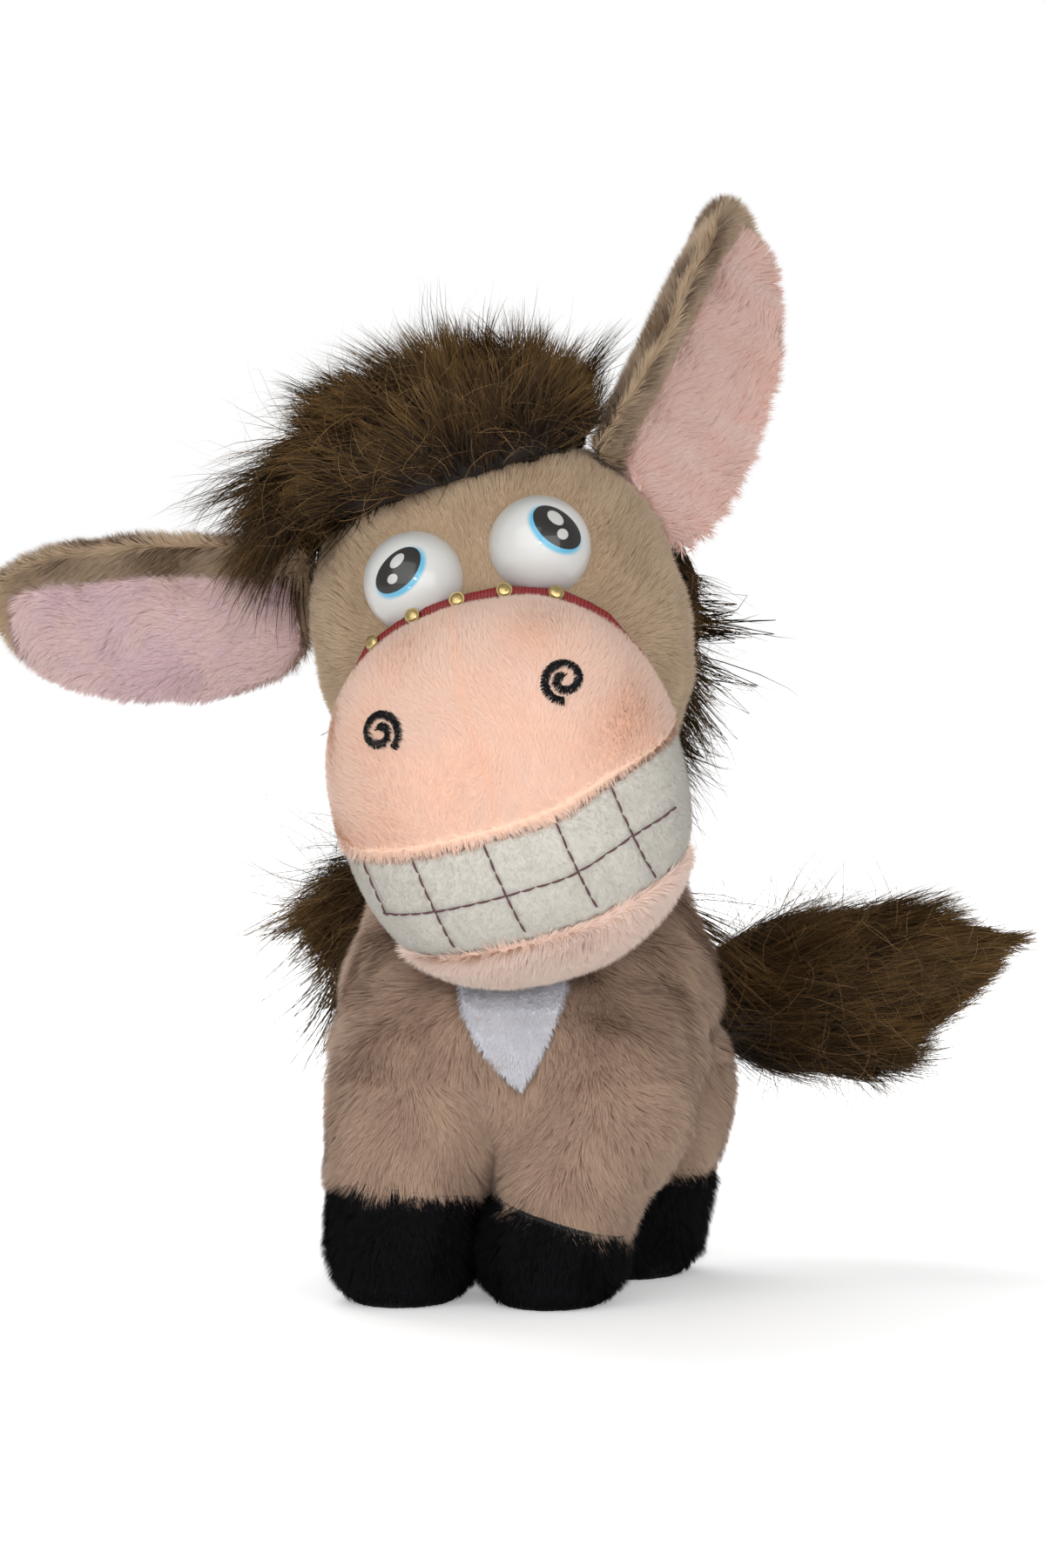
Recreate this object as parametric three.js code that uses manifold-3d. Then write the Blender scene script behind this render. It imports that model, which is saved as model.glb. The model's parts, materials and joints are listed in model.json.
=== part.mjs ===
// Small plush donkey standing on four short legs, head tilted over to one side.
// Millimetres, +Z up. The donkey looks along -Y and its left side is +X.
// The origin is on the floor, under the centre of the whole toy's box.
import * as THREE from 'three';
import { mergeVertices } from 'three/addons/utils/BufferGeometryUtils.js';
import Module from 'manifold-3d';

const wasm = await Module();
wasm.setup();

// General sizes
const GAP = 0.3;                 // clearance between neighbouring pieces
const PLUSH = 1.3;               // thickness of the plush covers
const SKIN_INSET = 0.1;          // air left between a cover and its stuffing
const HEAD_CLEARANCE = 0.6;      // between the neck ball and the hollow of the head
const POSE_ROLL = 16;            // degrees, the toy's left side of the head is up
const POSE_YAW = 1;              // degrees, the head looks a little to its left

// Trunk
const TRUNK = { x: 0, y: 9, z: 39.5, rx: 26, ry: 28, rz: 19.5 };
const CHEST = { x: 0, y: -4, z: 33.5, rx: 26, ry: 20, rz: 16 };
const WITHERS = { x: 0, y: 9, z: 49.5, rx: 23, ry: 18, rz: 15 };
const PATCH_WIDTH = 14.5;
const PATCH_X = 1.5;             // the patch sits a little to the toy's left
const PATCH_TOP = 44;
const PATCH_TIP = 28;
const PATCH_TIP_X = 3;
const PATCH_THICKNESS = 0.9;
const PATCH_REACH = 60;          // depth of the outline that cuts the patch
const PATCH_STEPS = 6;

// Legs and hooves
const LEG_LINES = {              // x of each leg at its widest and at its hoof
  front_left: { x: 12.6, toe: 6.2 },
  front_right: { x: -12.4, toe: -14.1 },
  hind_left: { x: 14.8, toe: 13.2 },
  hind_right: { x: -14.8, toe: -13.2 },
};
const LEG_FRONT_Y = -13;
const LEG_HIND_Y = 19.5;
const LEG_TOP = 38;
const LEG_WIDEST_Z = 25;
const SOCK_RADIUS_X = 10.6;
const SOCK_RADIUS_Y = 12.2;
const LEG_RADIUS_X = 12.1;
const LEG_RADIUS_Y = 13;
const SOCK_Z = 16.5;             // where the tan sleeve meets the black hoof
const HOOF_RADIUS_X = 9.8;
const HOOF_RADIUS_Y = 12;
const HOOF_WIDEST_Z = 8;
const SOLE_ROUND = 2.5;          // height of the rounded edge above the sole
const HOOF_LEAD = 2;             // how far the hoof stands forward of the leg
const SOLE_RADIUS_X = 6.6;
const SOLE_RADIUS_Y = 9;
const HOOF_EDGE_IN = 1.2;        // the hoof is this much narrower just above the sole
const SHOULDER_DROP = 7;         // from the top of the leg to where it starts to round off
const SHOULDER_IN = 0.6;
const CROWN_IN = 4;              // how much narrower the leg is at its very top

// Neck: a stuffed ball that the head tilts and turns on
const NECK = { x: 0, y: 4, z: 64.5, r: 17 };

// Head
const SKULL_AT = { x: -2.6, y: -2, z: 90.3 };
const SKULL = { rx: 25, ry: 22.5, rz: 27, n: 2.2 };
const MUZZLE = { x: -1.6, y: -23, z: -21, rx: 23.2, front: 22.5, back: 12, up: 25, down: 25, n: 2.35 };
const MUZZLE_SIDES = 20;
const MUZZLE_RINGS = 12;
const GUM_Z = -7.2;              // upper edge of the teeth below the muzzle's centre
const LIP_Z = -20.6;             // lower edge of the teeth
const SMILE_SLOPE = 14;          // degrees, how the teeth rise towards the cheeks
const TEETH_SET_BACK = 0.35;     // the cream panel lies a little deeper than the pink

// Eyes
const EYE_RADIUS = 6.9;
const EYE_SPREAD = 8.9;
const EYE_MID = 1.8;             // the eyes are set a little to the toy's left
const EYE_Z = 9.3;
const EYE_SUNK = 0.9;            // how far the dome's centre lies behind the head's surface
const SHANK_RADIUS = 1.6;
const SHANK_LENGTH = 7.5;
const WASHER_RADIUS = 5.2;
const WASHER_THICKNESS = 1.1;
const WASHER_SET = 1.5;          // room for the curve of the cover above the washer

// Noseband and studs
const BAND_WIDTH = 3.9;
const BAND_THICKNESS = 1;
const BAND_LOWEST = -9;
const STUD_RADIUS = 1.15;
const STUD_HEIGHT = 0.9;
const STUD_STEP = 6.3;
const STUD_MID = -1.2;
const STUD_LIFT = 0.7;           // how far the middle of a stud lies above the muzzle
const STUD_FORWARD = 3;          // how much more a stud faces forward than up
const STUD_PAIRS = 2;            // studs on each side of the middle one

// Thread
const THREAD_RADIUS = 0.28;
const NOSTRIL_SPREAD = 12.3;
const NOSTRIL_MID = -1.2;
const NOSTRIL_Z = 11.6;
const NOSTRIL_OUTER = 2.6;
const NOSTRIL_INNER = 0.9;
const NOSTRIL_TURNS = 1.5;
const NOSTRIL_THREAD = 0.5;
const NOSTRIL_POINTS = 18;
const TEETH_MID = -3.6;          // the mouth is sewn off centre, towards the toy's right
const INNER_TOOTH_X = 8.8;
const OUTER_TOOTH_X = 16;
const BITE_HALF = 16.5;          // half the bite line's width
const STITCH_END = 0.7;          // bare end between two lines of thread

// Ears, in the head's own frame
const EAR_LENGTH = 46;
const EAR_ROOT_WIDTH = 15;
const EAR_OUTER = 2.6;           // thickness of the tan leaf
const EAR_INNER = 2.2;           // thickness of the pink leaf
const EAR_SEAT = 0.4;            // clearance of the ear's root to the head
const EAR_WIDEST = 0.4;          // share of the length where the ear is widest
const EAR_PINCH = 0.3;           // share of the ear's thickness left where it is sewn on
const EAR_PINCH_END = 0.22;
const EAR_EDGE = 0.4;            // share of the ear's thickness left at its edge
const EAR_TIP_HALF = 0.7;
const EAR_ROWS = 9;
const EAR_COLUMNS = 6;
const EAR_SWEEP = [-25, -10, 0, 10, 25, 35];  // degrees, the seat is cut for the ear's whole flap
const EAR_INNER_START = 0.06;
const EAR_INNER_END = 0.93;
const EAR_LAYER_GAP = 0.5;       // between the tan leaf and the pink one
const EAR_INNER_SHARE = 0.8;     // width of the pink leaf against the tan one
const EAR_RIGHT_AT = { x: -22.8, y: -1, z: 11.6, rise: 14, lean: 4, twist: 24, cup: 6, width: 22.5 };
const EAR_LEFT_AT = { x: 20.2, y: 0, z: 16, rise: 51, lean: 27, twist: 66, cup: 10.5, width: 19.5 };

// Hair
const FORELOCK = { x: -3, y: -4, z: 24.5, rx: 24.5, ry: 16.5, rz: 13.5 };
const HAIRLINE_Z = 19;
const CREST = { x: 2, y: 19, z: 1, rx: 26.5, ry: 9, rz: 24 };
const NECK_MANE = { x: -9, y: 23, z: 51, rx: 27, ry: 9, rz: 12 };

// Tail
const TAIL_ROOT = { x: 5, y: 38.4, z: 36 };  // the swing's centre, just behind the trunk
const TAIL_JOINT = { x: 13, y: 43.5, z: 36 };
const TAIL_LENGTH = 50.5;
const TAIL_THICK = 12;
const STUB_RADIUS = 3;
const TAIL_RISE = 11;            // degrees
const TAIL_SEAT = STUB_RADIUS + GAP;  // from the lifting axis to the foot of the tuft
const TAIL_SAG = 3.6;
const TAIL_FLATNESS = 0.85;
const TUFT_SHARES = [0, 0.1, 0.25, 0.42, 0.6, 0.77, 0.9, 1];

const WIDE = 200;                // reach of the cutting blocks, past every piece

const COLOUR = {
  tan: 0xa8907a, black: 0x101014, white: 0xc8c8cc, pink: 0xecc8b0, cream: 0xd2cdc2,
  lip: 0xe6cdbe, ear: 0xd9b6b2, hair: 0x3a2818, red: 0x7a1c18, gold: 0xc9a850,
  thread: 0x141414, brownThread: 0x2e221c, eye: 0xe8e8e6, washer: 0xd8d8d8, wadding: 0xf2f0ea,
};

// Solids and booleans
function toSolid(geometry) {
  const bare = geometry.clone();
  bare.deleteAttribute('normal');
  bare.deleteAttribute('uv');
  const merged = mergeVertices(bare, 1e-4);
  const index = merged.index.array;
  const kept = [];
  for (let i = 0; i < index.length; i += 3) {
    const [a, b, c] = [index[i], index[i + 1], index[i + 2]];
    if (a !== b && b !== c && a !== c) kept.push(a, b, c);
  }
  const mesh = new wasm.Mesh({
    numProp: 3,
    vertProperties: new Float32Array(merged.attributes.position.array),
    triVerts: new Uint32Array(kept),
  });
  return new wasm.Manifold(mesh);
}

function toGeometry(solid) {
  const mesh = solid.getMesh();
  const geometry = new THREE.BufferGeometry();
  geometry.setAttribute('position', new THREE.BufferAttribute(new Float32Array(mesh.vertProperties), 3));
  geometry.setIndex(Array.from(mesh.triVerts));
  return geometry;
}

function cut(solid, ...tools) {
  return tools.reduce((rest, tool) => rest.subtract(tool), solid);
}

function join(solid, ...others) {
  return others.reduce((whole, other) => whole.add(other), solid);
}

// A closed form whose surface is given by its distance from a centre in each direction
function starForm(centre, reach, around = 16, along = 10) {
  const geometry = new THREE.SphereGeometry(1, around, along);
  const place = geometry.attributes.position;
  const ray = new THREE.Vector3();
  for (let i = 0; i < place.count; i += 1) {
    ray.fromBufferAttribute(place, i).normalize();
    const flat = new THREE.Vector3(ray.x, -ray.z, ray.y);
    const distance = reach(flat);
    place.setXYZ(i, centre.x + flat.x * distance, centre.y + flat.y * distance, centre.z + flat.z * distance);
  }
  return toSolid(geometry);
}

function superReach(ray, rx, ry, rz, n) {
  const sum = Math.abs(ray.x / rx) ** n + Math.abs(ray.y / ry) ** n + Math.abs(ray.z / rz) ** n;
  return 1 / sum ** (1 / n);
}

function swelling(form, grow = 0, around = 16, along = 10, n = 2) {
  const power = form.n ?? n;
  return starForm(form, (ray) => superReach(ray, form.rx + grow, form.ry + grow, form.rz + grow, power),
    around, along);
}

function ball(centre, radius, around = 16, along = 10) {
  return starForm(centre, () => radius, around, along);
}

// A closed form through level sections, each with its own centre and half widths
function stacked(sections, around = 12) {
  const points = [];
  const faces = [];
  const pole = (section) => points.push(section.x, section.y, section.z);
  pole(sections[0]);
  for (const section of sections) {
    for (let k = 0; k < around; k += 1) {
      const turn = (2 * Math.PI * k) / around;
      points.push(section.x + section.rx * Math.cos(turn), section.y + section.ry * Math.sin(turn),
        section.z);
    }
  }
  pole(sections[sections.length - 1]);
  const last = 1 + sections.length * around;
  for (let k = 0; k < around; k += 1) {
    const next = (k + 1) % around;
    faces.push(0, 1 + next, 1 + k);
    for (let s = 0; s + 1 < sections.length; s += 1) {
      const low = 1 + s * around;
      const high = low + around;
      faces.push(low + k, low + next, high + next);
      faces.push(low + k, high + next, high + k);
    }
    faces.push(last, last - around + k, last - around + next);
  }
  const geometry = new THREE.BufferGeometry();
  geometry.setAttribute('position', new THREE.BufferAttribute(new Float32Array(points), 3));
  geometry.setIndex(faces);
  return toSolid(geometry);
}

function block(x0, x1, y0, y1, z0, z1) {
  const geometry = new THREE.BoxGeometry(x1 - x0, y1 - y0, z1 - z0);
  geometry.translate((x0 + x1) / 2, (y0 + y1) / 2, (z0 + z1) / 2);
  return toSolid(geometry);
}

function tube(points, radius, steps, sides = 6) {
  const section = new THREE.Shape();
  for (let k = 0; k < sides; k += 1) {
    const turn = (2 * Math.PI * k) / sides;
    const corner = [radius * Math.cos(turn), radius * Math.sin(turn)];
    if (k === 0) section.moveTo(...corner);
    else section.lineTo(...corner);
  }
  section.closePath();
  const path = new THREE.CatmullRomCurve3(points);
  return toSolid(new THREE.ExtrudeGeometry(section, { steps, extrudePath: path, bevelEnabled: false }));
}

// Groups and named pieces
const donkey = new THREE.Group();
const neck = new THREE.Group();
neck.name = 'neck';
const head = new THREE.Group();
head.name = 'head';
const radians = THREE.MathUtils.degToRad;
neck.position.set(NECK.x, NECK.y, NECK.z);
head.position.set(SKULL_AT.x, SKULL_AT.y, SKULL_AT.z).sub(neck.position);
head.rotation.set(0, radians(-POSE_ROLL), radians(POSE_YAW), 'ZYX');
donkey.add(neck);
neck.add(head);
neck.updateMatrixWorld(true);
const intoHead = head.matrixWorld.clone().invert();

function addPiece(parent, name, solid, colour, roughness = 0.95, metalness = 0) {
  const material = new THREE.MeshStandardMaterial({ color: colour, roughness, metalness });
  const mesh = new THREE.Mesh(toGeometry(solid), material);
  mesh.name = name;
  parent.add(mesh);
  return mesh;
}

function inHead(point) {
  return new THREE.Vector3(point.x, point.y, point.z).applyMatrix4(intoHead);
}

// Neck ball
const neckSeat = ball(NECK, NECK.r + GAP);
const neckSeatInHead = ball(inHead(NECK), NECK.r + HEAD_CLEARANCE);

// Torso: trunk, chest and withers swell into one cover
function torsoForm(grow) {
  return join(swelling(TRUNK, grow), swelling(CHEST, grow), swelling(WITHERS, grow));
}
const torsoOuter = torsoForm(0);
const torsoInner = torsoForm(-PLUSH);
addPiece(donkey, 'torso_cover', cut(torsoOuter, torsoInner, neckSeat), COLOUR.tan);
addPiece(donkey, 'torso_stuffing', cut(torsoForm(-PLUSH - SKIN_INSET), neckSeat), COLOUR.wadding);
addPiece(neck, 'neck_cover', ball({ x: 0, y: 0, z: 0 }, NECK.r), COLOUR.tan);

// Legs: a tan sleeve over its own core of stuffing, with a black hoof cup below
const torsoSeat = torsoForm(GAP);
function limbSections(line, y, inset) {
  const ahead = y - HOOF_LEAD;
  const leanAt = (z) => THREE.MathUtils.mapLinear(Math.min(z, LEG_WIDEST_Z), HOOF_WIDEST_Z, LEG_WIDEST_Z,
    line.toe, line.x);
  const ring = (at, z, rx, ry) => ({
    x: leanAt(Math.max(z, HOOF_WIDEST_Z)), y: at, z, rx: rx - inset, ry: ry - inset,
  });
  return [
    ring(ahead, inset, SOLE_RADIUS_X, SOLE_RADIUS_Y),
    ring(ahead, SOLE_ROUND + inset, HOOF_RADIUS_X - HOOF_EDGE_IN, HOOF_RADIUS_Y - HOOF_EDGE_IN),
    ring(ahead, HOOF_WIDEST_Z, HOOF_RADIUS_X, HOOF_RADIUS_Y),
    ring(y - HOOF_LEAD / 2, SOCK_Z, SOCK_RADIUS_X, SOCK_RADIUS_Y),
    ring(y, LEG_WIDEST_Z, LEG_RADIUS_X, LEG_RADIUS_Y),
    ring(y, LEG_TOP - SHOULDER_DROP, LEG_RADIUS_X - SHOULDER_IN, LEG_RADIUS_Y - SHOULDER_IN),
    ring(y, LEG_TOP, LEG_RADIUS_X - CROWN_IN, LEG_RADIUS_Y - CROWN_IN),
  ];
}
const LEGS = [
  ['front_left', LEG_FRONT_Y], ['front_right', LEG_FRONT_Y],
  ['hind_left', LEG_HIND_Y], ['hind_right', LEG_HIND_Y],
];
const aboveSock = block(-WIDE, WIDE, -WIDE, WIDE, SOCK_Z + GAP / 2, WIDE);
const belowSock = block(-WIDE, WIDE, -WIDE, WIDE, -WIDE, SOCK_Z - GAP / 2);
for (const [corner, y] of LEGS) {
  const line = LEG_LINES[corner];
  const limb = cut(stacked(limbSections(line, y, 0)), stacked(limbSections(line, y, PLUSH)), torsoSeat);
  const core = cut(stacked(limbSections(line, y, PLUSH + SKIN_INSET)), torsoSeat);
  addPiece(donkey, `${corner}_leg`, limb.intersect(aboveSock), COLOUR.tan);
  addPiece(donkey, `${corner}_hoof`, limb.intersect(belowSock), COLOUR.black);
  addPiece(donkey, `${corner}_leg_stuffing`, core, COLOUR.wadding);
}

// Chest patch: a sharp-pointed shield of white plush on the chest, above and between the legs
function patchOutline() {
  const shape = new THREE.Shape();
  const half = PATCH_WIDTH / 2;
  const middle = (PATCH_TOP + PATCH_TIP) / 2;
  shape.moveTo(PATCH_X - half, PATCH_TOP);
  shape.quadraticCurveTo(PATCH_X - half * 0.9, middle, PATCH_TIP_X, PATCH_TIP);
  shape.quadraticCurveTo(PATCH_X + half * 0.9, middle, PATCH_X + half, PATCH_TOP);
  shape.closePath();
  const geometry = new THREE.ExtrudeGeometry(shape, {
    depth: PATCH_REACH, bevelEnabled: false, curveSegments: PATCH_STEPS,
  });
  geometry.rotateX(Math.PI / 2);
  return toSolid(geometry);
}
const legSeats = LEGS.map(([corner, y]) => stacked(limbSections(LEG_LINES[corner], y, -GAP)));
const patchShell = cut(torsoForm(GAP + PATCH_THICKNESS), torsoSeat, ...legSeats);
addPiece(donkey, 'chest_patch', patchShell.intersect(patchOutline()), COLOUR.white);

// Head: cover, stuffing and the domed muzzle in front, all in the head's own frame
function skullForm(grow, around = 18, along = 12) {
  return swelling({ x: 0, y: 0, z: 0, ...SKULL }, grow, around, along);
}
function muzzleForm(grow) {
  const centre = { x: MUZZLE.x, y: MUZZLE.y, z: MUZZLE.z };
  const reach = (ray) => superReach(ray, MUZZLE.rx + grow,
    (ray.y < 0 ? MUZZLE.front : MUZZLE.back) + grow,
    (ray.z > 0 ? MUZZLE.up : MUZZLE.down) + grow, MUZZLE.n);
  return starForm(centre, reach, MUZZLE_SIDES, MUZZLE_RINGS);
}
// How far a point lies outside the skull or the muzzle, 0 on the surface
function skullLevel(point, grow) {
  const ray = new THREE.Vector3(point.x, point.y, point.z);
  const unit = ray.clone().normalize();
  return ray.length() - superReach(unit, SKULL.rx + grow, SKULL.ry + grow, SKULL.rz + grow, SKULL.n);
}
function muzzleLevel(point, grow) {
  const ray = new THREE.Vector3(point.x - MUZZLE.x, point.y - MUZZLE.y, point.z - MUZZLE.z);
  const unit = ray.clone().normalize();
  const depth = (unit.y < 0 ? MUZZLE.front : MUZZLE.back) + grow;
  const height = (unit.z > 0 ? MUZZLE.up : MUZZLE.down) + grow;
  return ray.length() - superReach(unit, MUZZLE.rx + grow, depth, height, MUZZLE.n);
}
// The foremost point of a surface at a given x and z, and the way it faces
function frontOf(level, grow, x, z) {
  let inside = 0;
  let outside = -80;
  for (let i = 0; i < 40; i += 1) {
    const middle = (inside + outside) / 2;
    if (level({ x, y: middle, z }, grow) > 0) outside = middle;
    else inside = middle;
  }
  return new THREE.Vector3(x, outside, z);
}
function facing(level, point) {
  const step = 0.05;
  const slope = (axis) => {
    const ahead = point.clone();
    const behind = point.clone();
    ahead[axis] += step;
    behind[axis] -= step;
    return level(ahead, 0) - level(behind, 0);
  };
  return new THREE.Vector3(slope('x'), slope('y'), slope('z')).normalize();
}
function onSurface(level, x, z, offset) {
  const point = frontOf(level, 0, x, z);
  return point.addScaledVector(facing(level, point), offset);
}

const skullSeat = skullForm(GAP);
const muzzleFrontY = MUZZLE.y - MUZZLE.front;
const smileRise = Math.tan(radians(SMILE_SLOPE));
function below(z, gap) {
  const geometry = new THREE.BoxGeometry(WIDE, WIDE, WIDE);
  geometry.translate(0, 0, -WIDE / 2);
  geometry.rotateX(radians(SMILE_SLOPE));
  geometry.translate(0, muzzleFrontY, MUZZLE.z + z + gap);
  return toSolid(geometry);
}

// Eyes: glossy domes with a shank through the cover and a locking washer behind it
function axisSolid(profile, sides) {
  const points = profile.map(([r, h]) => new THREE.Vector2(r, h));
  return new THREE.LatheGeometry(points, sides);
}
function facingPlace(point, normal) {
  const turn = new THREE.Quaternion().setFromUnitVectors(new THREE.Vector3(0, 1, 0), normal);
  return new THREE.Matrix4().compose(point, turn, new THREE.Vector3(1, 1, 1));
}
function rod(radius, from, to, sides = 12) {
  return axisSolid([[0, from], [radius, from], [radius, to], [0, to]], sides);
}
const eyes = [['eye_left', 1], ['eye_right', -1]].map(([name, side]) => {
  const seat = frontOf(skullLevel, 0, EYE_MID + side * EYE_SPREAD, EYE_Z);
  const normal = facing(skullLevel, seat);
  const place = facingPlace(seat, normal);
  const centre = seat.clone().addScaledVector(normal, -EYE_SUNK);
  const shank = toSolid(rod(SHANK_RADIUS, -SHANK_LENGTH, 0).applyMatrix4(place));
  const hole = toSolid(rod(SHANK_RADIUS + GAP, -SHANK_LENGTH - GAP, 0).applyMatrix4(place));
  const washerTop = -PLUSH - WASHER_SET;
  const washer = toSolid(axisSolid([
    [SHANK_RADIUS + GAP, washerTop - WASHER_THICKNESS], [WASHER_RADIUS, washerTop - WASHER_THICKNESS],
    [WASHER_RADIUS, washerTop], [SHANK_RADIUS + GAP, washerTop],
    [SHANK_RADIUS + GAP, washerTop - WASHER_THICKNESS],
  ], 12).applyMatrix4(place));
  const room = toSolid(rod(WASHER_RADIUS + GAP, -SHANK_LENGTH - GAP, 0).applyMatrix4(place));
  const dome = cut(ball(centre, EYE_RADIUS), skullSeat);
  const clear = ball(centre, EYE_RADIUS + GAP);
  return { name, dome: join(dome, shank), hole, washer, room, clear };
});

const headShell = cut(skullForm(0), skullForm(-PLUSH), neckSeatInHead, ...eyes.map((eye) => eye.hole));
addPiece(head, 'head_cover', headShell, COLOUR.tan);
const headCore = cut(skullForm(-PLUSH - SKIN_INSET), neckSeatInHead, ...eyes.map((eye) => eye.room));
addPiece(head, 'head_stuffing', headCore, COLOUR.wadding);
for (const eye of eyes) {
  addPiece(head, eye.name, eye.dome, COLOUR.eye, 0.12);
  addPiece(head, `${eye.name}_washer`, eye.washer, COLOUR.washer, 0.5);
}

const muzzleShell = cut(muzzleForm(0), muzzleForm(-PLUSH), skullSeat, neckSeatInHead,
  ...eyes.map((eye) => eye.clear));
const teethShell = cut(muzzleForm(-TEETH_SET_BACK), muzzleForm(-PLUSH), skullSeat, neckSeatInHead);
addPiece(head, 'muzzle_cover', cut(muzzleShell, below(GUM_Z, GAP / 2)), COLOUR.pink);
addPiece(head, 'teeth_panel', cut(teethShell.intersect(below(GUM_Z, -GAP / 2)), below(LIP_Z, GAP / 2)),
  COLOUR.cream);
addPiece(head, 'lower_lip', muzzleShell.intersect(below(LIP_Z, -GAP / 2)), COLOUR.lip);
addPiece(head, 'muzzle_stuffing', cut(muzzleForm(-PLUSH - SKIN_INSET), skullSeat, neckSeatInHead),
  COLOUR.wadding);

// Noseband in the crease round the top of the muzzle, with domed studs
const bandRing = cut(muzzleForm(GAP + BAND_THICKNESS), muzzleForm(GAP));
const bandStrip = cut(skullForm(GAP + BAND_WIDTH), skullForm(GAP));
const aboveBand = block(-WIDE, WIDE, -WIDE, WIDE, BAND_LOWEST, WIDE);
const band = cut(bandRing.intersect(bandStrip).intersect(aboveBand), ...eyes.map((eye) => eye.clear));
addPiece(head, 'noseband', band, COLOUR.red, 0.6);
function onBand(x) {
  let low = BAND_LOWEST;
  let high = EYE_Z;
  for (let i = 0; i < 30; i += 1) {
    const z = (low + high) / 2;
    const point = frontOf(skullLevel, GAP + BAND_WIDTH, x, z);
    if (muzzleLevel(point, GAP + STUD_LIFT) > 0) high = z;
    else low = z;
  }
  return frontOf(skullLevel, GAP + BAND_WIDTH, x, high);
}
const studProfile = [[0, 0], [STUD_RADIUS, 0], [STUD_RADIUS * 0.8, STUD_HEIGHT * 0.6], [0, STUD_HEIGHT]];
for (let k = -STUD_PAIRS; k <= STUD_PAIRS; k += 1) {
  const point = onBand(STUD_MID + k * STUD_STEP);
  const forward = facing(skullLevel, point);
  const normal = facing(muzzleLevel, point).addScaledVector(forward, STUD_FORWARD).normalize();
  point.addScaledVector(normal, GAP);
  const stud = addPiece(head, `stud_${k + STUD_PAIRS + 1}`, toSolid(axisSolid(studProfile, 10)),
    COLOUR.gold, 0.3, 1);
  stud.position.copy(point);
  stud.quaternion.setFromUnitVectors(new THREE.Vector3(0, 1, 0), normal);
}

// Embroidered thread: spiral nostrils on the pink, crossed lines on the teeth
const threadOff = GAP + THREAD_RADIUS;
for (const [name, side] of [['nostril_left', 1], ['nostril_right', -1]]) {
  const points = [];
  for (let i = 0; i <= NOSTRIL_POINTS; i += 1) {
    const share = i / NOSTRIL_POINTS;
    const turn = 2 * Math.PI * NOSTRIL_TURNS * share;
    const radius = NOSTRIL_INNER + (NOSTRIL_OUTER - NOSTRIL_INNER) * share;
    const x = NOSTRIL_MID + side * (NOSTRIL_SPREAD + radius * Math.cos(turn));
    const z = MUZZLE.z + NOSTRIL_Z + radius * Math.sin(turn);
    points.push(onSurface(muzzleLevel, x, z, GAP + NOSTRIL_THREAD));
  }
  addPiece(head, name, tube(points, NOSTRIL_THREAD, NOSTRIL_POINTS, 5), COLOUR.thread, 0.7);
}
function toothPoint(x, z) {
  let rise = 0;
  for (let i = 0; i < 6; i += 1) {
    rise = (frontOf(muzzleLevel, 0, x, MUZZLE.z + z + rise).y - muzzleFrontY) * smileRise;
  }
  return onSurface(muzzleLevel, x, MUZZLE.z + z + rise, threadOff - TEETH_SET_BACK);
}
const biteZ = (GUM_Z + LIP_Z) / 2;
const seamLines = [];
for (let k = -2; k <= 2; k += 1) {
  const x = TEETH_MID + Math.sign(k) * (Math.abs(k) === 2 ? OUTER_TOOTH_X : INNER_TOOTH_X);
  for (const [half, from, to] of [['upper', GUM_Z, biteZ], ['lower', biteZ, LIP_Z]]) {
    if (k === -2 && half === 'lower') continue;
    const inset = Math.sign(from - to) * STITCH_END;
    const points = [0, 1, 2, 3].map((i) => toothPoint(x, from - inset + ((to - from + 2 * inset) * i) / 3));
    seamLines.push([`tooth_line_${half}_${k + 3}`, points, 4]);
  }
}
const bitePoints = [];
for (let i = 0; i <= 12; i += 1) bitePoints.push(toothPoint(TEETH_MID + BITE_HALF * (i / 6 - 1), biteZ));
seamLines.push(['bite_line', bitePoints, 12]);
for (const [name, points, steps] of seamLines) {
  addPiece(head, name, tube(points, THREAD_RADIUS, steps, 5), COLOUR.brownThread, 0.8);
}

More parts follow.
